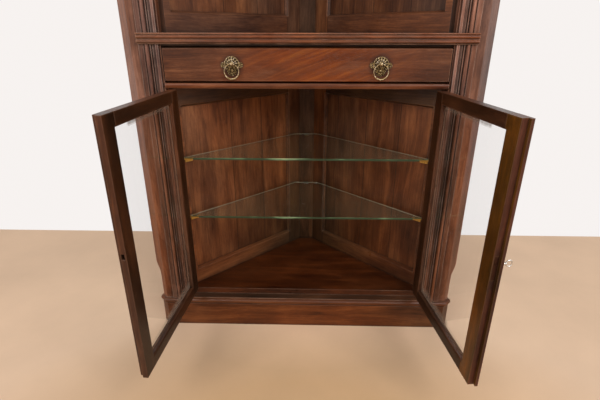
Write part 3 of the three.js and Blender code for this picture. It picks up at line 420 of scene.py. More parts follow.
def matt(tree, colour):
    return node(tree, "ShaderNodeBsdfDiffuse", {"Color": colour}).outputs[0]


def mixed(tree, factor, first, second):
    return node(tree, "ShaderNodeMixShader", {0: factor, 1: first, 2: second}).outputs[0]


def surface(tree, colour, rough, others=None):
    inputs = {"Base Color": colour, "Roughness": rough, **(others or {})}
    return node(tree, "ShaderNodeBsdfPrincipled", inputs).outputs[0]


def cover(tree, shader, kind="ShaderNodeOutputMaterial"):
    return node(tree, kind, {"Surface": shader})


def wear_and_highlight_mask(tree, radius=WEAR_AND_HIGHLIGHT_RADIUS):
    """Near 1 on convex and concave edges, 0 on flats."""
    bevel = node(tree, "ShaderNodeBevel", {"Radius": radius}, samples=4)
    geometry = node(tree, "ShaderNodeNewGeometry")
    normals = {0: bevel.outputs[0], 1: geometry.outputs["Normal"]}
    return spread(tree, vector_maths(tree, "DOT_PRODUCT", normals)["Value"], *WEAR_AND_HIGHLIGHT_SPAN)


def crevice_mask(tree, reach=CREVICE_REACH):
    """Near 1 where other surfaces crowd in, 0 in the open."""
    shade = node(tree, "ShaderNodeAmbientOcclusion", {"Distance": reach}, samples=4)
    return spread(tree, shade.outputs["AO"], *CREVICE_SPAN)


# Woods

def turned(tree, vector, turn):
    return node(tree, "ShaderNodeMapping", {"Vector": vector, "Rotation": turn}).outputs[0]


def grain_space(tree, turn):
    """Object coordinates turned so that the grain runs along X, shifted for each piece, and gently wavy."""
    chance = node(tree, "ShaderNodeObjectInfo").outputs["Random"]
    shift = scaled(tree, PIECE_SHIFT, chance)
    moved = vector_maths(tree, "ADD", {0: turned(tree, object_place(tree), turn), 1: shift})[0]
    sway = times(tree, minus(tree, noise(tree, moved, SWAY, 2.0), 0.5), SWAY_REACH)
    wave = node(tree, "ShaderNodeCombineXYZ", {1: sway, 2: sway}).outputs[0]
    return vector_maths(tree, "ADD", {0: moved, 1: wave})[0]


def mahogany(tree, space, tones, figure=0.5, change=1.0):
    """Colour, roughness and height: broad ribbons, fine streaks, dark pores and a slow drift of tone.
    figure is the share of the ribbons; change is the size of the drift."""
    ribbon = noise(tree, space, *RIBBONS)
    streak = noise(tree, space, *STREAKS)
    pores = spread(tree, noise(tree, space, *PORES), 0.58, 0.68)
    cloud = noise(tree, space, *CLOUDS)
    warmth = noise(tree, space, *WARMTH)
    tone = plus(tree, times(tree, spread(tree, ribbon, 0.28, 0.72), figure),
                times(tree, spread(tree, streak, 0.20, 0.80), 1 - figure))
    drift = spread(tree, cloud, 0.28, 0.72, -0.34 * change, 0.34 * change)
    tone = plus(tree, tone, drift, clamp=True)
    dark, middle, light, _ = tones
    colour = ramp(tree, tone, [(0.08, dark), (0.50, middle), (0.95, light)])
    warm = blended(tree, spread(tree, warmth, 0.36, 0.64), *WARM_TINTS)
    colour = toned(tree, colour, warm, min(change, 1.0))
    colour = blended(tree, times(tree, pores, 0.5), colour, (*dark, 1))
    rough = plus(tree, spread(tree, cloud, 0.3, 0.7, 0.27, 0.42), times(tree, pores, 0.15))
    height = minus(tree, times(tree, streak, 0.4), pores)
    return colour, rough, height


def finish_wood(tree, grain, tones, wear_and_highlight=0.6, reach=CREVICE_REACH, gloss=WOOD_SPECULAR):
    """Painted shade with dark dirt in the crevices, and paler arrises, worn and with painted highlight, over
    the polished grain.
    """
    colour, rough, height = grain
    crevice = crevice_mask(tree, reach)
    # Crevice darkening from ambient occlusion: painted shade as well as dirt
    colour = blended(tree, times(tree, crevice, 0.85), colour, DIRT_AND_SHADE_COLOUR)
    patchy = noise(tree, object_place(tree), (12.0,) * 3, 5.0, 0.6)
    # Paler arrises: edge wear and painted highlight
    edge = times(tree, wear_and_highlight_mask(tree), spread(tree, patchy, 0.30, 0.62))
    edge = times(tree, edge, minus(tree, 1.0, crevice))
    colour = blended(tree, times(tree, edge, wear_and_highlight), colour, (*tones[3], 1))
    rough = plus(tree, rough, times(tree, crevice, 0.2), clamp=True)
    cover(tree, surface(tree, colour, rough, {
        "Specular IOR Level": gloss, "Normal": bumped(tree, height, 0.4, 0.0003)}))


def plain_wood(name, tones, turn, figure=0.5, wear_and_highlight=0.6, reach=CREVICE_REACH, gloss=WOOD_SPECULAR):
    material, tree = new_material(name)
    grain = mahogany(tree, grain_space(tree, turn), tones, figure)
    finish_wood(tree, grain, tones, wear_and_highlight, reach, gloss)
    return material


def wall_grain(side):
    """Turns level grain to run along a wall."""
    return (0.0, 0.0, -SIDES[side] * radians(135))


def with_painted_sheen(tree, colour, sheen_tint):
    """Paler and greyer from the waist up: a painted sheen."""
    z = split(tree, object_place(tree))[2]
    return toned(tree, colour, blended(tree, spread(tree, z, *SHEEN_RISE), WHITE, sheen_tint))


def stile_wood():
    material, tree = new_material("front_upright")
    colour, *rest = mahogany(tree, grain_space(tree, GRAIN_Z), STILE_TONES)
    finish_wood(tree, (with_painted_sheen(tree, colour, STILE_SHEEN), *rest), STILE_TONES, reach=0.006)
    return material


def bare_wood(name, turn):
    """Unpolished: even in tone, dry, with a straight open grain."""
    material, tree = new_material(name)
    colour, _, height = mahogany(tree, grain_space(tree, turn), RAW_TONES, 0.5, 0.25)
    finish_wood(tree, (colour, 0.75, height), RAW_TONES, 0.4)
    return material


def moulded_wood(name, tones, turn, reach, shade_and_highlight, foot=None):
    """Painted highlight on the crests of the ridges and beads, painted shade in the quirks and flutes
    between them.
    """
    material, tree = new_material(name)
    colour, rough, height = mahogany(tree, grain_space(tree, turn), tones, 0.4)
    # Upright flutes also take the painted sheen
    if turn == GRAIN_Z:
        colour = with_painted_sheen(tree, colour, FLUTE_SHEEN)
    place = object_place(tree)
    _, y, z = split(tree, place)
    patchy = noise(tree, place, (14.0, 14.0, 5.0), 4.0, 0.6)
    # Dark at the back, pale at the front: painted shade and painted highlight
    crest_light_and_shade = spread(tree, y, *reach, *shade_and_highlight)
    crest_light_and_shade = times(tree, crest_light_and_shade, spread(tree, patchy, 0.30, 0.70, 0.80, 1.25))
    # A given foot darkens low down with painted shade
    if foot:
        crest_light_and_shade = times(tree, crest_light_and_shade, spread(tree, z, *foot, 0.30, 1.0))
    colour = scaled(tree, colour, crest_light_and_shade)
    finish_wood(tree, (colour, rough, height), tones, 0.65, 0.005)
    return material


def door_wood(name, face_tones, turn, edge_tones=DOOR_EDGE_TONES):
    """Dark on the door's two faces, redder on the edges and in the moulding round the pane.
    Other face tones than the common ones are for the right door's inner face alone."""
    material, tree = new_material(name)
    space = grain_space(tree, turn)
    face, rough, height = mahogany(tree, space, face_tones)
    side = mahogany(tree, space, edge_tones)[0]
    across = object_normal(tree)[0]
    if face_tones is not DOOR_TONES:
        outer = mahogany(tree, space, DOOR_TONES)[0]
        face = blended(tree, is_over(tree, across, 0.5), face, outer)
    flat = spread(tree, absolute(tree, across), 0.90, 0.97)
    colour = blended(tree, flat, side, face)
    finish_wood(tree, (colour, rough, height), face_tones, reach=0.008)
    return material


def drawer_front_wood():
    """A figured board: warm in the middle with its grain leaning up to the right, greyer at both ends."""
    material, tree = new_material("drawer_front")
    place = object_place(tree)
    colour, rough, height = mahogany(tree, grain_space(tree, GRAIN_X), FRONT_TONES, 0.45)
    dull = toned(tree, colour, GREY_ENDS_TINT)
    leaning = turned(tree, place, (0.0, FLAME_LEAN, 0.0))
    flame = ramp(tree, noise(tree, leaning, *FLAMES), FLAME_STOPS)
    x, _, z = split(tree, place)
    across = absolute(tree, minus(tree, x, FLAME_PLACE))
    patch = times(tree, spread(tree, across, *FLAME_REACH),
                  spread(tree, noise(tree, leaning, *FLAME_PATCHES), 0.26, 0.52))
    colour = blended(tree, patch, dull, flame)
    # Dirt and painted shadow round the pulls
    colour = blended(tree, times(tree, pull_dirt_and_shadow(tree, x, z), 0.75), colour, DIRT_AND_SHADE_COLOUR)
    finish_wood(tree, (colour, rough, height), FRONT_TONES)
    return material


def pull_dirt_and_shadow(tree, x, z):
    """Polish, dirt and painted shadow round each pull, centred a little below it."""
    side = minus(tree, absolute(tree, x), POST[0])
    drop = minus(tree, z, POST[2] - PULL_DIRT_AND_SHADOW_DROP)
    away = maths("SQRT", tree, plus(tree, times(tree, side, side), times(tree, drop, drop)))
    return spread(tree, away, *PULL_DIRT_AND_SHADOW_REACH)


def board_tone(tree, along, joints):
    """A small step in tone from board to board."""
    tone = 1.0
    for joint, step in zip(joints, BOARD_STEPS):
        tone = plus(tree, tone, times(tree, is_over(tree, along, joint), step))
    return tone


def joint_mask(tree, along, joints):
    """1 in the narrow gaps between boards, 0 elsewhere."""
    mask = 0.0
    for joint in joints:
        near = absolute(tree, minus(tree, along, joint))
        mask = larger(tree, mask, is_under(tree, near, JOINT_HALF_WIDTH))
    return mask


def wall_depth(tree, place):
    """Distance behind the wall's inner face, the same for both walls."""
    x, y, _ = split(tree, place)
    low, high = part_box("right_wall_frame")
    line = low.x + high.y - FRAME_STOCK * sqrt(2)
    return times(tree, minus(tree, plus(tree, absolute(tree, x), y), line), sqrt(0.5))


def corner_painted_shade(tree, colour, along, z):
    """Painted shade low down in the angle of the walls."""
    mask = times(tree, spread(tree, along, *CORNER_SHADE_SPAN), spread(tree, z, *CORNER_SHADE_RISE))
    return tinted(tree, mask, colour, CORNER_SHADE_TINT)


def wall_panel_wood(side):
    """Upright boards with open joints: polished inside, bare behind."""
    material, tree = new_material(f"{side}_wall_panel")
    place = object_place(tree)
    space = grain_space(tree, GRAIN_Z)
    colour, rough, height = mahogany(tree, space, PANEL_TONES[side], 0.55, 0.95)
    x, _, z = split(tree, place)
    # A paler band partway up the panels: painted light, slightly darker elsewhere
    painted_light_band = times(tree, spread(tree, z, *PANEL_RISE[0]), spread(tree, z, *PANEL_RISE[1]))
    colour = toned(tree, colour, blended(tree, painted_light_band, *PANEL_LIGHT_AND_SHADE))
    along = absolute(tree, x)
    joints = BOARD_JOINTS[side]
    colour = scaled(tree, colour, board_tone(tree, along, joints))
    colour = corner_painted_shade(tree, colour, along, z)
    # Painted sheen on the panels above the waist
    colour = tinted(tree, is_over(tree, z, RAIL_SPAN[1]), colour, UPPER_PANEL_SHEEN)
    raw = mahogany(tree, space, RAW_TONES, 0.5, 0.25)[0]
    behind = is_over(tree, wall_depth(tree, place), FRAME_STOCK + PANEL_STOCK / 2)
    colour = blended(tree, behind, colour, raw)
    rough = larger(tree, rough, times(tree, behind, 0.75))
    mask = joint_mask(tree, along, joints)
    colour = blended(tree, times(tree, mask, 0.7), colour, DIRT_AND_SHADE_COLOUR)
    height = minus(tree, height, times(tree, mask, 4.0))
    finish_wood(tree, (colour, rough, height), PANEL_TONES[side])
    return material


def wall_frame_wood(side):
    """Framing round the sunk panels: upright grain in the stiles, level grain in the rails between them."""
    material, tree = new_material(f"{side}_wall_frame")
    tones = PANEL_TONES[side]
    upright, rough, height = mahogany(tree, grain_space(tree, GRAIN_Z), tones, 0.4)
    level = mahogany(tree, grain_space(tree, wall_grain(side)), tones, 0.4)[0]
    x, _, z = split(tree, object_place(tree))
    along = absolute(tree, x)
    inner = is_under(tree, along, STILE_ENDS[0])
    inside = minus(tree, is_under(tree, along, STILE_ENDS[1]), inner)
    # Inner stiles: painted light and shade that change with height
    shade = blended(tree, spread(tree, z, *INNER_STILE_RISE), *INNER_STILE_LIGHT_AND_SHADE[side])
    colour = blended(tree, inside, tinted(tree, inner, upright, shade), level)
    # Rails above the waist take painted light and sheen, the rail right under it painted shade
    above = times(tree, inside, is_over(tree, z, RAIL_SPAN[1]))
    under = minus(tree, times(tree, inside, is_over(tree, z, RAIL_SPAN[0])), above)
    colour = tinted(tree, under, tinted(tree, above, colour, UPPER_RAIL_LIGHT_AND_SHEEN[side]), UNDER_WAIST_SHADE)
    colour = corner_painted_shade(tree, colour, along, z)
    # The stile by the door takes painted shade
    colour = tinted(tree, is_over(tree, along, STILE_ENDS[1]), colour, STILE_SHADE)
    colour = blended(tree, times(tree, joint_mask(tree, along, STILE_ENDS), 0.6), colour, DIRT_AND_SHADE_COLOUR)
    finish_wood(tree, (colour, rough, height), tones)
    return material


# Metals and glass

def metal(name, base, dark, rough_low, rough_high):
    material, tree = new_material(name)
    mottle = noise(tree, object_place(tree), (260.0,) * 3, 4.0, 0.65)
    age = larger(tree, crevice_mask(tree, 0.004), spread(tree, mottle, 0.50, 0.72, 0.0, 0.7))
    finish_metal(tree, blended(tree, age, (*base, 1), (*dark, 1)), mottle, rough_low, rough_high)
    return material


def finish_metal(tree, colour, mottle, rough_low, rough_high):
    fine = noise(tree, object_place(tree), (1400.0,) * 3, 2.0)
    rough = spread(tree, mottle, 0.3, 0.7, rough_low, rough_high)
    cover(tree, surface(tree, colour, rough, {
        "Metallic": 1.0, "Normal": bumped(tree, fine, 0.12, 0.0002)}))


def old_brass():
    """Brass gone dark in its hollows, darker low on the plate, rubbed pale where it stands out, with painted
    highlight there.
    """
    material, tree = new_material("rubbed_and_highlit_brass")
    place = object_place(tree)
    _, y, z = split(tree, place)
    mottle = noise(tree, place, (460.0,) * 3, 3.0, 0.7)
    patchy = spread(tree, mottle, 0.36, 0.64, -0.28, 0.38)
    # Paler to the front and on the edges: rubbing and painted highlight
    tone = plus(tree, spread(tree, y, *RUBBED_AND_HIGHLIGHT_REACH, 0.0, 0.45), patchy)
    tone = plus(tree, tone, times(tree, wear_and_highlight_mask(tree, 0.0010), 0.48))
    tone = minus(tree, tone, times(tree, crevice_mask(tree, 0.005), 0.5))
    low = times(tree, spread(tree, z, *LOW_SPAN), is_over(tree, y, PLATE_REACH))
    tone = minus(tree, tone, times(tree, low, 0.12), clamp=True)
    finish_metal(tree, ramp(tree, tone, RUBBED_AND_HIGHLIGHT_STOPS), mottle, 0.26, 0.5)
    return material


def clear_glass(tree, place, ior):
    """Clear to the eye, and open to the light that falls on what stands behind it."""
    smear = spread(tree, noise(tree, place, (9.0,) * 3), 0.45, 0.75, 0.0, 0.05)
    wave = noise(tree, place, (5.0,) * 3, 1.0)
    clear = surface(tree, WHITE, smear, {
        "IOR": ior, "Transmission Weight": 1.0, "Normal": bumped(tree, wave, 0.05, 0.001)})
    through = node(tree, "ShaderNodeBsdfTransparent", {"Color": (0.96, 0.98, 0.97, 1)})
    path = node(tree, "ShaderNodeLightPath").outputs
    shade = larger(tree, path["Is Shadow Ray"], path["Is Diffuse Ray"])
    return mixed(tree, shade, clear, through.outputs[0])


def edge_colour(tree, place):
    """Green ground edges with a painted glint on one stretch, painted light towards their top and on the
    rear edges, and a painted reflection of the clips beside them.
    """
    x, y, z = split(tree, place)
    streak = noise(tree, place, (9.0, 9.0, 40.0), 4.0, 0.6)
    above = maths("FLOORED_MODULO", tree, minus(tree, z, SHELF_UNDERSIDE), SHELF_SPACING)
    rise = maths("DIVIDE", tree, above, SHELF_THICKNESS)
    # Painted glint, and painted light towards the top of each edge
    glint = spread(tree, absolute(tree, minus(tree, x, GLINT_PLACE)), *GLINT_REACH, 0.0, 0.16)
    light = plus(tree, streak, plus(tree, glint, spread(tree, rise, 0.2, 0.9, -0.06, 0.10)))
    green = ramp(tree, light, EDGE_STOPS)
    rear = is_over(tree, y, REAR_PLACE)
    green = blended(tree, times(tree, rear, 0.75), green, EDGE_REAR)
    # Painted reflection of the clips
    clip_reflection = times(tree, is_over(tree, absolute(tree, x), CLIP_REACH[0]), is_under(tree, y, CLIP_REACH[1]))
    clip_reflection = times(tree, clip_reflection, is_under(tree, rise, 0.55))
    return blended(tree, clip_reflection, green, CLIP_REFLECTION_COLOUR)


def shelf_glass():
    """Plate glass, green within, with ground edges and dust on top."""
    material, tree = new_material("shelf_glass")
    place = object_place(tree)
    x = split(tree, place)[0]
    facing = object_normal(tree)[2]
    dust = times(tree, is_over(tree, facing, 0.5),
                 spread(tree, absolute(tree, x), *DUST_SPAN, *DUST_AMOUNT))
    flat = mixed(tree, dust, clear_glass(tree, place, 1.5), matt(tree, DUST_COLOUR))
    edge = times(tree, is_under(tree, absolute(tree, facing), 0.5), 0.9)
    output = cover(tree, mixed(tree, edge, flat, surface(tree, edge_colour(tree, place), 0.3)))
    absorb = node(tree, "ShaderNodeVolumeAbsorption", {"Color": (0.40, 0.86, 0.62, 1), "Density": 9.0})
    tree.links.new(absorb.outputs[0], output.inputs["Volume"])
    return material


def door_glass():
    """A thin pane: wood-coloured edges in the rebate, a grey film and a painted highlight line by the rails.
    """
    material, tree = new_material("door_glass")
    place = object_place(tree)
    _, y, z = split(tree, place)
    bands = [times(tree, spread(tree, z, *band), spread(tree, y, *end))
             for band, end in zip(FILM_BANDS, FILM_ENDS)]
    cloud = noise(tree, place, (60.0,) * 3, 4.0)
    film = times(tree, larger(tree, *bands), spread(tree, cloud, 0.25, 0.75, 0.15, 0.55))
    pane = mixed(tree, film, clear_glass(tree, place, 1.3), matt(tree, FILM_COLOUR))
    # Painted highlight line along the pane's border
    pane_highlight = larger(tree, is_over(tree, y, PANE_HIGHLIGHT_ENDS[0]), is_under(tree, z, PANE_HIGHLIGHT_ENDS[1]))
    smear = noise(tree, place, (16.0,) * 3)
    pane_highlight = times(tree, pane_highlight, spread(tree, smear, 0.30, 0.70, 0.30, 0.75))
    pane = mixed(tree, pane_highlight, pane, matt(tree, PANE_HIGHLIGHT_COLOUR))
    edge = is_under(tree, absolute(tree, object_normal(tree)[0]), 0.5)
    cover(tree, mixed(tree, edge, pane, surface(tree, REBATE_COLOUR, 0.5)))
    return material


# Dressing the frame's own pieces

def smoothing_tree():
    """Geometry nodes that drop imported normals and smooth every edge below an angle."""
    tree = bpy.data.node_groups.new("smooth_by_angle", "GeometryNodeTree")
    for end in ("INPUT", "OUTPUT"):
        tree.interface.new_socket("Geometry", in_out=end, socket_type="NodeSocketGeometry")
    start = node(tree, "NodeGroupInput").outputs[0]
    bare = node(tree, "GeometryNodeRemoveAttribute", {
        "Geometry": start, "Name": "custom_normal"}).outputs[0]
    smooth = node(tree, "GeometryNodeSetShadeSmooth", {
        "Geometry": bare, "Shade Smooth": True}).outputs[0]
    angle = node(tree, "GeometryNodeInputMeshEdgeAngle").outputs["Unsigned Angle"]
    steep = is_over(tree, angle, SMOOTH_ANGLE)
    sharp = node(tree, "GeometryNodeSetShadeSmooth", {
        "Geometry": smooth, "Selection": steep, "Shade Smooth": False}, domain="EDGE").outputs[0]
    node(tree, "NodeGroupOutput", {0: sharp})
    return tree


SMOOTHING = smoothing_tree()


def soften(piece, arris):
    weld = piece.modifiers.new("weld", "WELD")
    weld.merge_threshold = WELD_REACH
    if arris:
        bevel = piece.modifiers.new("arris", "BEVEL")
        bevel.width = arris
        bevel.segments = ARRIS_SEGMENTS
        bevel.limit_method = "ANGLE"
        bevel.angle_limit = ARRIS_ANGLE
    smooth = piece.modifiers.new("smooth", "NODES")
    smooth.node_group = SMOOTHING
    piece.modifiers.new("normals", "WEIGHTED_NORMAL").keep_sharp = True


def dress(name, material, arris=ARRIS):
    piece = NODES[name]
    piece.material_slots[0].material = material
    soften(piece, arris)


def dress_all(material, *names, arris=ARRIS):
    for name in names:
        dress(name, material, arris)


# Fittings made in mesh code

def round_place(centre, radius, angle, reach=0.0):
    """The point of an upright circle at an angle, reach to the front of its centre."""
    return centre + Vector((radius * cos(angle), -reach, radius * sin(angle)))


def lathe(mesh, centre, profile, sides=32, petals=0, depth=0.0, closed=False):
    """Turns (radius, reach) steps round a line along Y through centre; reach runs to the front."""
    rings = []
    turns = [2 * pi * k / sides for k in range(sides)]
    swells = [1 + depth * cos(petals * turn) for turn in turns]
    for radius, reach in profile:
        places = [centre + Vector((0, -reach, 0))]
        if radius:
            places = [round_place(centre, radius * swell, turn, reach) for swell, turn in zip(swells, turns)]
        rings.append([mesh.verts.new(place) for place in places])
    bridge(mesh, rings, sides, closed)


def bridge(mesh, rings, sides, closed):
    """Joins each ring of corners to the next; a ring of one corner is a tip."""
    for near, far in zip(rings, rings[1:] + (rings[:1] if closed else [])):
        for k in range(sides):
            after = (k + 1) % sides
            steps = ((near, k), (near, after), (far, after), (far, k))
            unique = list(dict.fromkeys(ring[i % len(ring)] for ring, i in steps))
            if len(unique) > 2:
                mesh.faces.new(unique)


def sweep(mesh, places, radii, sides=10, closed=False, strands=0, depth=0.0):
    """A round bar along places in an upright plane; strands twist round it like a rope."""
    rings = []
    count = len(places)
    for i, (place, radius) in enumerate(zip(places, radii)):
        ahead = places[(i + 1) % count] if closed or i + 1 < count else place
        behind = places[i - 1] if closed or i else place
        tangent = (ahead - behind).normalized()
        side = tangent.cross(Vector((0, -1, 0))).normalized()
        out = side.cross(tangent).normalized()
        ring = []
        for k in range(sides):
            angle = 2 * pi * k / sides
            swell = 1 + depth * cos(3 * angle + strands * 2 * pi * i / count)
            away = side * cos(angle) + out * sin(angle)
            ring.append(mesh.verts.new(place + radius * swell * away))
        rings.append(ring)
    bridge(mesh, rings, sides, closed)
    if not closed:
        mesh.faces.new(rings[0])
        mesh.faces.new(rings[-1])


def arc_places(centre, radius, start, end, steps, reach):
    """Points on an upright arc; reach gives how far each stands out to the front."""
    angles = [radians(start + (end - start) * i / steps) for i in range(steps + 1)]
    return [round_place(centre, radius, angle, reach) for angle in angles]


def new_object(name, data):
    made = bpy.data.objects.new(name, data)
    bpy.context.scene.collection.objects.link(made)
    return made


def to_object(mesh, name, material, matrix=None):
    bmesh.ops.recalc_face_normals(mesh, faces=mesh.faces)
    data = bpy.data.meshes.new(name)
    mesh.to_mesh(data)
    mesh.free()
    if matrix:
        data.transform(matrix)
    for face in data.polygons:
        face.use_smooth = True
    data.materials.append(material)
    return new_object(name, data)


def dome_reach(distance):
    """How far the fan's dome stands out, by distance from its middle."""
    return FAN_EDGE + FAN_BULGE * (1 - (distance / FAN_RADIUS) ** 2)


def add_fan(mesh):
    """A pierced half-round fan: a beaded rim, an inner arc, and ribs that run to the boss."""
    centre = Vector((0, 0, FAN_CENTRE))
    lathe(mesh, centre, FAN_BACK, 40)
    for radius, wire, start, end in FAN_ARCS:
        places = arc_places(centre, radius, start, end, 40, dome_reach(radius))
        sweep(mesh, places, [wire] * len(places))
    for i in range(FAN_RIBS):
        angle = radians(RIB_TURNS[0] + RIB_TURNS[1] * i / (FAN_RIBS - 1))
        spans = [RIB_REACH[0] + RIB_REACH[1] * step / RIB_STEPS for step in range(RIB_STEPS + 1)]
        places = [round_place(centre, r, angle, dome_reach(r)) for r in spans]
        sweep(mesh, places, [RIB_WIRE[0] + RIB_WIRE[1] * (r / FAN_RADIUS) for r in spans], 8)
        if i:
            lathe(mesh, round_place(centre, FAN_RADIUS, angle - BEAD_TURN), BEAD, 12)


def add_ears(mesh):
    for sign in (-1, 1):
        lathe(mesh, Vector((sign * EAR_PLACE[0], 0, EAR_PLACE[1])), EAR, closed=True)
        scroll = [Vector((sign * x, -SCROLL_REACH, z)) for x, z in SCROLL]
        sweep(mesh, scroll, SCROLL_WIRES, 8)


def cast(piece):
    """Fuses the overlapping shapes into one cast piece with slightly softened detail."""
    remesh = piece.modifiers.new("fuse", "REMESH")
    remesh.mode = "VOXEL"
    remesh.voxel_size = CAST_VOXEL
    remesh.use_smooth_shade = True
    soft = piece.modifiers.new("soften", "SMOOTH")
    soft.factor = CAST_SOFTENING
    soft.iterations = CAST_PASSES


def make_pull_plate(side, brass):
    mesh = bmesh.new()
    add_fan(mesh)
    add_ears(mesh)
    lathe(mesh, Vector((0, 0, ROSETTE_DROP)), ROSETTE, 64, 8, 0.09)
    lathe(mesh, Vector(), BOSS)
    place = Matrix.Translation((SIDES[side] * POST[0], POST[1], POST[2]))
    piece = to_object(mesh, f"{side}_pull_fan_plate", brass, place)
    cast(piece)
    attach(piece, "drawer")
    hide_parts(f"{side}_pull_plate")


def make_pull_ring(side, brass):
    """A rope-twist ring, thicker towards its foot, with a bead there."""
    mesh = bmesh.new()
    steps = RING_STRANDS * 6
    centre = Vector((0, RING_AXIS, POST[2] - RING_RADIUS))
    angles = [2 * pi * i / steps for i in range(steps)]
    places = [round_place(centre, RING_RADIUS, angle) for angle in angles]
    swells = [max(0.0, -sin(angle)) ** 2 for angle in angles]
    radii = [RING_WIRE[0] + (RING_WIRE[1] - RING_WIRE[0]) * swell for swell in swells]
    sweep(mesh, places, radii, 14, True, RING_STRANDS, 0.13)
    lathe(mesh, centre + Vector((0, 0, -RING_RADIUS)), RING_BEAD, 20)
    across = Matrix.Translation((SIDES[side] * POST[0], 0, 0))
    piece = to_object(mesh, f"{side}_pull_rope_ring", brass, across)
    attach(piece, f"{side}_ring")
    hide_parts(f"{side}_pull_ring")


def key_matrix():
    """From the key's own axes, its shank along Y, to its place in the open right door."""
    return Matrix.Translation(KEY_PLACE) @ Matrix.Rotation(OPEN["right"], 4, "Z")


def add_shank(mesh):
    start, end, radius = KEY_SHANK
    tip = [(0, -end), (radius * 0.8, -end), (radius, -end + KEY_TIP)]
    lathe(mesh, Vector(), tip + [(r, -start - back) for r, back in KEY_COLLARS], 20)


def add_bow(mesh):
    """The key's oval bow, in the plane of its shank, thicker where it meets the collars."""
    middle, bow, wire = KEY_BOW
    rings = []
    for i in range(48):
        angle = 2 * pi * i / 48
        out = Vector((0, bow * cos(angle), bow * 1.08 * sin(angle)))
        thick = wire * (1.05 + 0.45 * max(0.0, cos(angle)) ** 3)
        ring = []
        for k in range(10):
            turn = 2 * pi * k / 10
            away = out.normalized() * thick * cos(turn)
            away += Vector((wire * 0.75 * sin(turn), 0, 0))
            ring.append(mesh.verts.new(Vector((0, middle, 0)) + out + away))
        rings.append(ring)
    bridge(mesh, rings, 10, True)


def add_block(mesh, low, high):
    corners = [mesh.verts.new(place) for place in product(*zip(low, high))]
    for face in BLOCK_FACES:
        mesh.faces.new([corners[i] for i in face])


def make_key(steel):
    mesh = bmesh.new()
    add_shank(mesh)
    add_bow(mesh)
    for low, high in KEY_BIT:
        add_block(mesh, low, high)
    piece = to_object(mesh, "cabinet_key", steel, key_matrix())
    soft = piece.modifiers.new("round", "BEVEL")
    soft.width = LOCK_ARRIS
    soft.limit_method = "ANGLE"
    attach(piece, "key")
    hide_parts("key")


def make_escutcheon(brass):
    mesh = bmesh.new()
    lathe(mesh, Vector((0, DOOR_FACE, 0)), ESCUTCHEON, closed=True)
    piece = to_object(mesh, "key_escutcheon", brass, key_matrix())
    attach(piece, "right_door")


def make_glue_lines(material):
    """Old glue, uneven along its front, in the hairline seams beside the corner board."""
    low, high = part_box("corner_board")
    start, end = high.x + GLUE_SLACK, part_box("right_wall_frame")[0].x - GLUE_SLACK
    rear = high.y - GLUE_REAR
    mesh = bmesh.new()
    for sign in SIDES.values():
        rings = []
        for step in range(GLUE_STEPS + 1):
            height = low.z + GLUE_END + (high.z - low.z - 2 * GLUE_END) * step / GLUE_STEPS
            front = low.y + GLUE_FRONT + GLUE_WAVE * sin(1.7 * step)
            corners = [(start, front), (end, front), (end, rear), (start, rear)]
            rings.append([mesh.verts.new((sign * x, y, height)) for x, y in corners])
        for below, above in zip(rings, rings[1:]):
            for i in range(4):
                mesh.faces.new((below[i], below[i - 1], above[i - 1], above[i]))
        mesh.faces.new(rings[0])
        mesh.faces.new(rings[-1][::-1])
    piece = to_object(mesh, "corner_glue_lines", material)
    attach(piece, "cabinet")


def add_screw(mesh, matrix, radius, turn):
    """A low round head with a slot across it, facing the front before matrix places it."""
    start = len(mesh.verts)
    dome = [(radius * s, SCREW_HEIGHT - SCREW_DOME * s ** 4) for s in SCREW_STEPS]
    profile = [(0, SCREW_HEIGHT), *dome, (radius, SCREW_FOOT), (0, SCREW_FOOT)]
    lathe(mesh, Vector(), profile, 28)
    mesh.verts.ensure_lookup_table()
    for vertex in mesh.verts[start:]:
        spot = vertex.co
        across = spot.x * cos(turn) + spot.z * sin(turn)
        if spot.y < 0 and abs(across) < SLOT_HALF_WIDTH:
            spot.y += SLOT_DEPTH
        vertex.co = matrix @ spot


def make_screws(name, body, material, places, radius=SCREW_RADIUS):
    """Screws as one piece; places holds (point, direction the head faces)."""
    mesh = bmesh.new()
    for i, (point, facing) in enumerate(places):
        turn = Vector((0, -1, 0)).rotation_difference(Vector(facing)).to_matrix()
        matrix = Matrix.Translation(point) @ turn.to_4x4()
        add_screw(mesh, matrix, radius, SLOT_TURNS[0] + SLOT_TURNS[1] * i)
    piece = to_object(mesh, name, material)
    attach(piece, body)


def opened(side, x, y, z=0.0):
    """A point of a door given shut, moved to where the open door has it."""
    sign = SIDES[side]
    axis = Vector((sign * HINGE_AXIS[0], HINGE_AXIS[1], 0))
    turn = Matrix.Rotation(OPEN[side], 3, "Z")
    return axis + turn @ (Vector((sign * x, y, z)) - axis)


def on_door(side, x, y, heights, out):
    """Screws on a door given shut, facing along X where out is 1 and back where it is -1."""
    facing = opened(side, x + out, y) - opened(side, x, y)
    return [(opened(side, x, y, z), facing) for z in heights]


def hinge_screws(side, level, brass):
    sign = SIDES[side]
    low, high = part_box(f"{side}_{level}_door_hinge")
    heights = [(low.z + high.z) / 2 + step * HINGE_LENGTH * SCREW_SPACING for step in (-1, 0, 1)]
    make_screws(f"{side}_{level}_frame_screws", "cabinet", brass,
                [(Vector((sign * FRAME_LEAF_FACE, LEAF_MIDDLE, z)), (-sign, 0, 0)) for z in heights])
    make_screws(f"{side}_{level}_door_screws", f"{side}_door", brass,
                on_door(side, DOOR_LEAF_FACE, LEAF_MIDDLE, heights, 1))


def lock_screws(steel):
    places = on_door("right", LOCK_EDGE, LOCK_DEPTH, LOCK_SCREW_HEIGHTS, -1)
    make_screws("lock_screws", "right_door", steel, places, LOCK_SCREW_RADIUS)


# Camera, floor and light

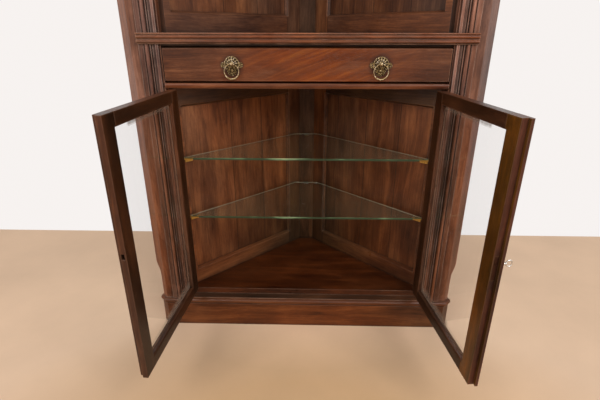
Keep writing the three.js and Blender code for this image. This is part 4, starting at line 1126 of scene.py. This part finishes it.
def make_camera():
    data = bpy.data.cameras.new("photo_camera")
    data.sensor_width = SENSOR_WIDTH
    data.lens = FOCAL_PIXELS * SENSOR_WIDTH / IMAGE_WIDTH
    camera = new_object("photo_camera", data)
    aim = Euler((pi / 2 - CAMERA_PITCH, 0.0, CAMERA_YAW)).to_matrix()
    aim = aim @ Matrix.Rotation(CAMERA_ROLL, 3, "Z")
    camera.matrix_world = Matrix.Translation(CAMERA_PLACE) @ aim.to_4x4()
    bpy.context.scene.camera = camera


def floor_fade(tree, place, middle, *spans):
    """Spreads the distance from a point of the floor; middle is that point's Y."""
    away = vector_maths(tree, "DISTANCE", {0: place, 1: (0.0, middle, 0.0)})["Value"]
    return spread(tree, away, *spans)


def floor_material():
    """Pale, a little cloudy, warmer in front of the cabinet, with a painted pool of light close under it."""
    material, tree = new_material("pale_floor")
    place = object_place(tree)
    cloud = noise(tree, place, (2.4,) * 3, 6.0, 0.6)
    oval = stretched(tree, place, (0.5, 1.0, 1.0))
    near = floor_fade(tree, oval, *FLOOR_NEAR)
    colour = blended(tree, near, FLOOR_COLOUR, FLOOR_NEAR_COLOUR)
    # Cloudy tone times the painted pool of light
    shade = times(tree, spread(tree, cloud, 0.3, 0.7, *FLOOR_CLOUD), floor_fade(tree, oval, *FLOOR_PAINTED_LIGHT))
    cover(tree, surface(tree, scaled(tree, colour, shade), 0.75))
    return material


def make_floor():
    mesh = bpy.data.meshes.new("floor")
    corners = [(sign * FLOOR_HALF_WIDTH, y, 0) for y in (FLOOR_FRONT, FLOOR_BACK) for sign in (-1, 1)]
    mesh.from_pydata(corners, [], [(0, 1, 3, 2)])
    mesh.materials.append(floor_material())
    new_object("floor", mesh)


def make_world():
    world = bpy.data.worlds.new("studio")
    bpy.context.scene.world = world
    world.use_nodes = True
    tree = world.node_tree
    tree.nodes.clear()
    path = node(tree, "ShaderNodeLightPath").outputs
    seen = larger(tree, path["Is Camera Ray"],
                  larger(tree, path["Is Glossy Ray"], path["Is Transmission Ray"]))
    lit = node(tree, "ShaderNodeBackground", {"Color": FILL_COLOUR, "Strength": FILL_STRENGTH})
    pale = node(tree, "ShaderNodeBackground", {"Color": BACKDROP_COLOUR, "Strength": 1.0})
    cover(tree, mixed(tree, seen, lit.outputs[0], pale.outputs[0]), "ShaderNodeOutputWorld")


def area_light(name, place, aim, size, energy):
    data = bpy.data.lights.new(name, "AREA")
    data.size = size
    data.energy = energy
    light = new_object(name, data)
    light.location = place
    light.rotation_euler = (Vector(aim) - Vector(place)).to_track_quat("-Z", "Y").to_euler()


# Putting it together

def dress_woods():
    front_x = plain_wood("front_level", FRONT_TONES, GRAIN_X, 0.5, 0.75, 0.008)
    front_z = stile_wood()
    dark_x = plain_wood("dark_level", DARK_TONES, GRAIN_X)
    corner = plain_wood("corner_upright", CORNER_TONES, GRAIN_Z, gloss=CORNER_SPECULAR)
    flutes = moulded_wood("fluted_upright", FLUTE_TONES, GRAIN_Z, FLUTE_REACH, FLUTE_SHADE_AND_HIGHLIGHT)
    waist = moulded_wood("waist_beads", FRONT_TONES, GRAIN_X, WAIST_REACH, WAIST_SHADE_AND_HIGHLIGHT, WAIST_SHADED_FOOT)
    door_z = door_wood("door_upright", DOOR_TONES, GRAIN_Z)
    plinth = plain_wood("plinth_level", PLINTH_TONES, GRAIN_X)
    olive = door_wood("olive_upright", OLIVE_TONES, GRAIN_Z, LAP_EDGE_TONES)
    board = plain_wood("floor_board", FLOOR_TONES, GRAIN_X)
    raw_x = bare_wood("drawer_level", GRAIN_X)
    dress_all(plinth, "plinth", "base_moulding")
    dress_all(front_x, "waist_board", "drawer_rail", "cornice", "lower_display_shelf", "upper_display_shelf")
    dress("waist_moulding", waist, ARRIS / 2)
    dress("drawer_front", drawer_front_wood())
    dress("floor_board", board)
    dress_all(dark_x, "sill_rail", "waist_rail", "top_board")
    dress("corner_board", corner)
    dress_all(raw_x, "dust_board", "drawer_back", "drawer_base")
    for side in SIDES:
        dress(f"{side}_stile", front_z)
        dress(f"{side}_pilaster", flutes, ARRIS / 2)
        dress(f"{side}_wall_frame", wall_frame_wood(side))
        dress(f"{side}_wall_panel", wall_panel_wood(side))
        dress(f"{side}_drawer_side", bare_wood(f"{side}_drawer_side", wall_grain(side)))
        rail = door_wood(f"{side}_door_rail", DOOR_TONES, (0, 0, -OPEN[side]))
        dress(f"{side}_door_hinge_stile", door_z)
        dress(f"{side}_door_free_stile", olive if side == "right" else door_z)
        dress_all(rail, f"{side}_door_top_rail", f"{side}_door_bottom_rail")


def dress_metals():
    brass = metal("aged_brass", *BRASS)
    steel = metal("bright_steel", *STEEL)
    iron = metal("blackened_iron", *IRON)
    gilt = metal("clip_brass", *CLIP_BRASS)
    # Darker brass for the rear clips: painted shade
    dull = metal("shaded_clip_brass", *SHADED_CLIP_BRASS)
    for level in LEVELS:
        dress(f"{level}_rear_clip", dull, METAL_ARRIS)
        for side in SIDES:
            dress(f"{side}_{level}_clip", gilt, METAL_ARRIS)
            leaves = [f"{side}_{level}_{part}_hinge" for part in ("frame", "door")]
            dress_all(brass, *leaves, arris=METAL_ARRIS)
    dress_all(iron, "lock_case", "lock_bolt", arris=LOCK_ARRIS)
    return brass, steel, iron


def dress_glass():
    shelf = shelf_glass()
    pane = door_glass()
    for level in LEVELS:
        NODES[f"{level}_glass_shelf"].material_slots[0].material = shelf
    for side in SIDES:
        NODES[f"{side}_door_glass"].material_slots[0].material = pane


def make_fittings(brass, steel, iron):
    # Pull brass, rubbed pale with painted highlight
    rubbed = old_brass()
    for side in SIDES:
        make_pull_plate(side, rubbed)
        make_pull_ring(side, rubbed)
        for level in LEVELS:
            hinge_screws(side, level, brass)
    make_key(steel)
    make_escutcheon(brass)
    lock_screws(iron)
    make_glue_lines(plain_wood("old_glue", DARK_TONES, GRAIN_Z, wear_and_highlight=0.0))


make_camera()
make_floor()
make_world()
for lamp in LAMPS:
    area_light(*lamp)
dress_woods()
metals = dress_metals()
dress_glass()
make_fittings(*metals)

bpy.context.scene.view_settings.view_transform = "Standard"
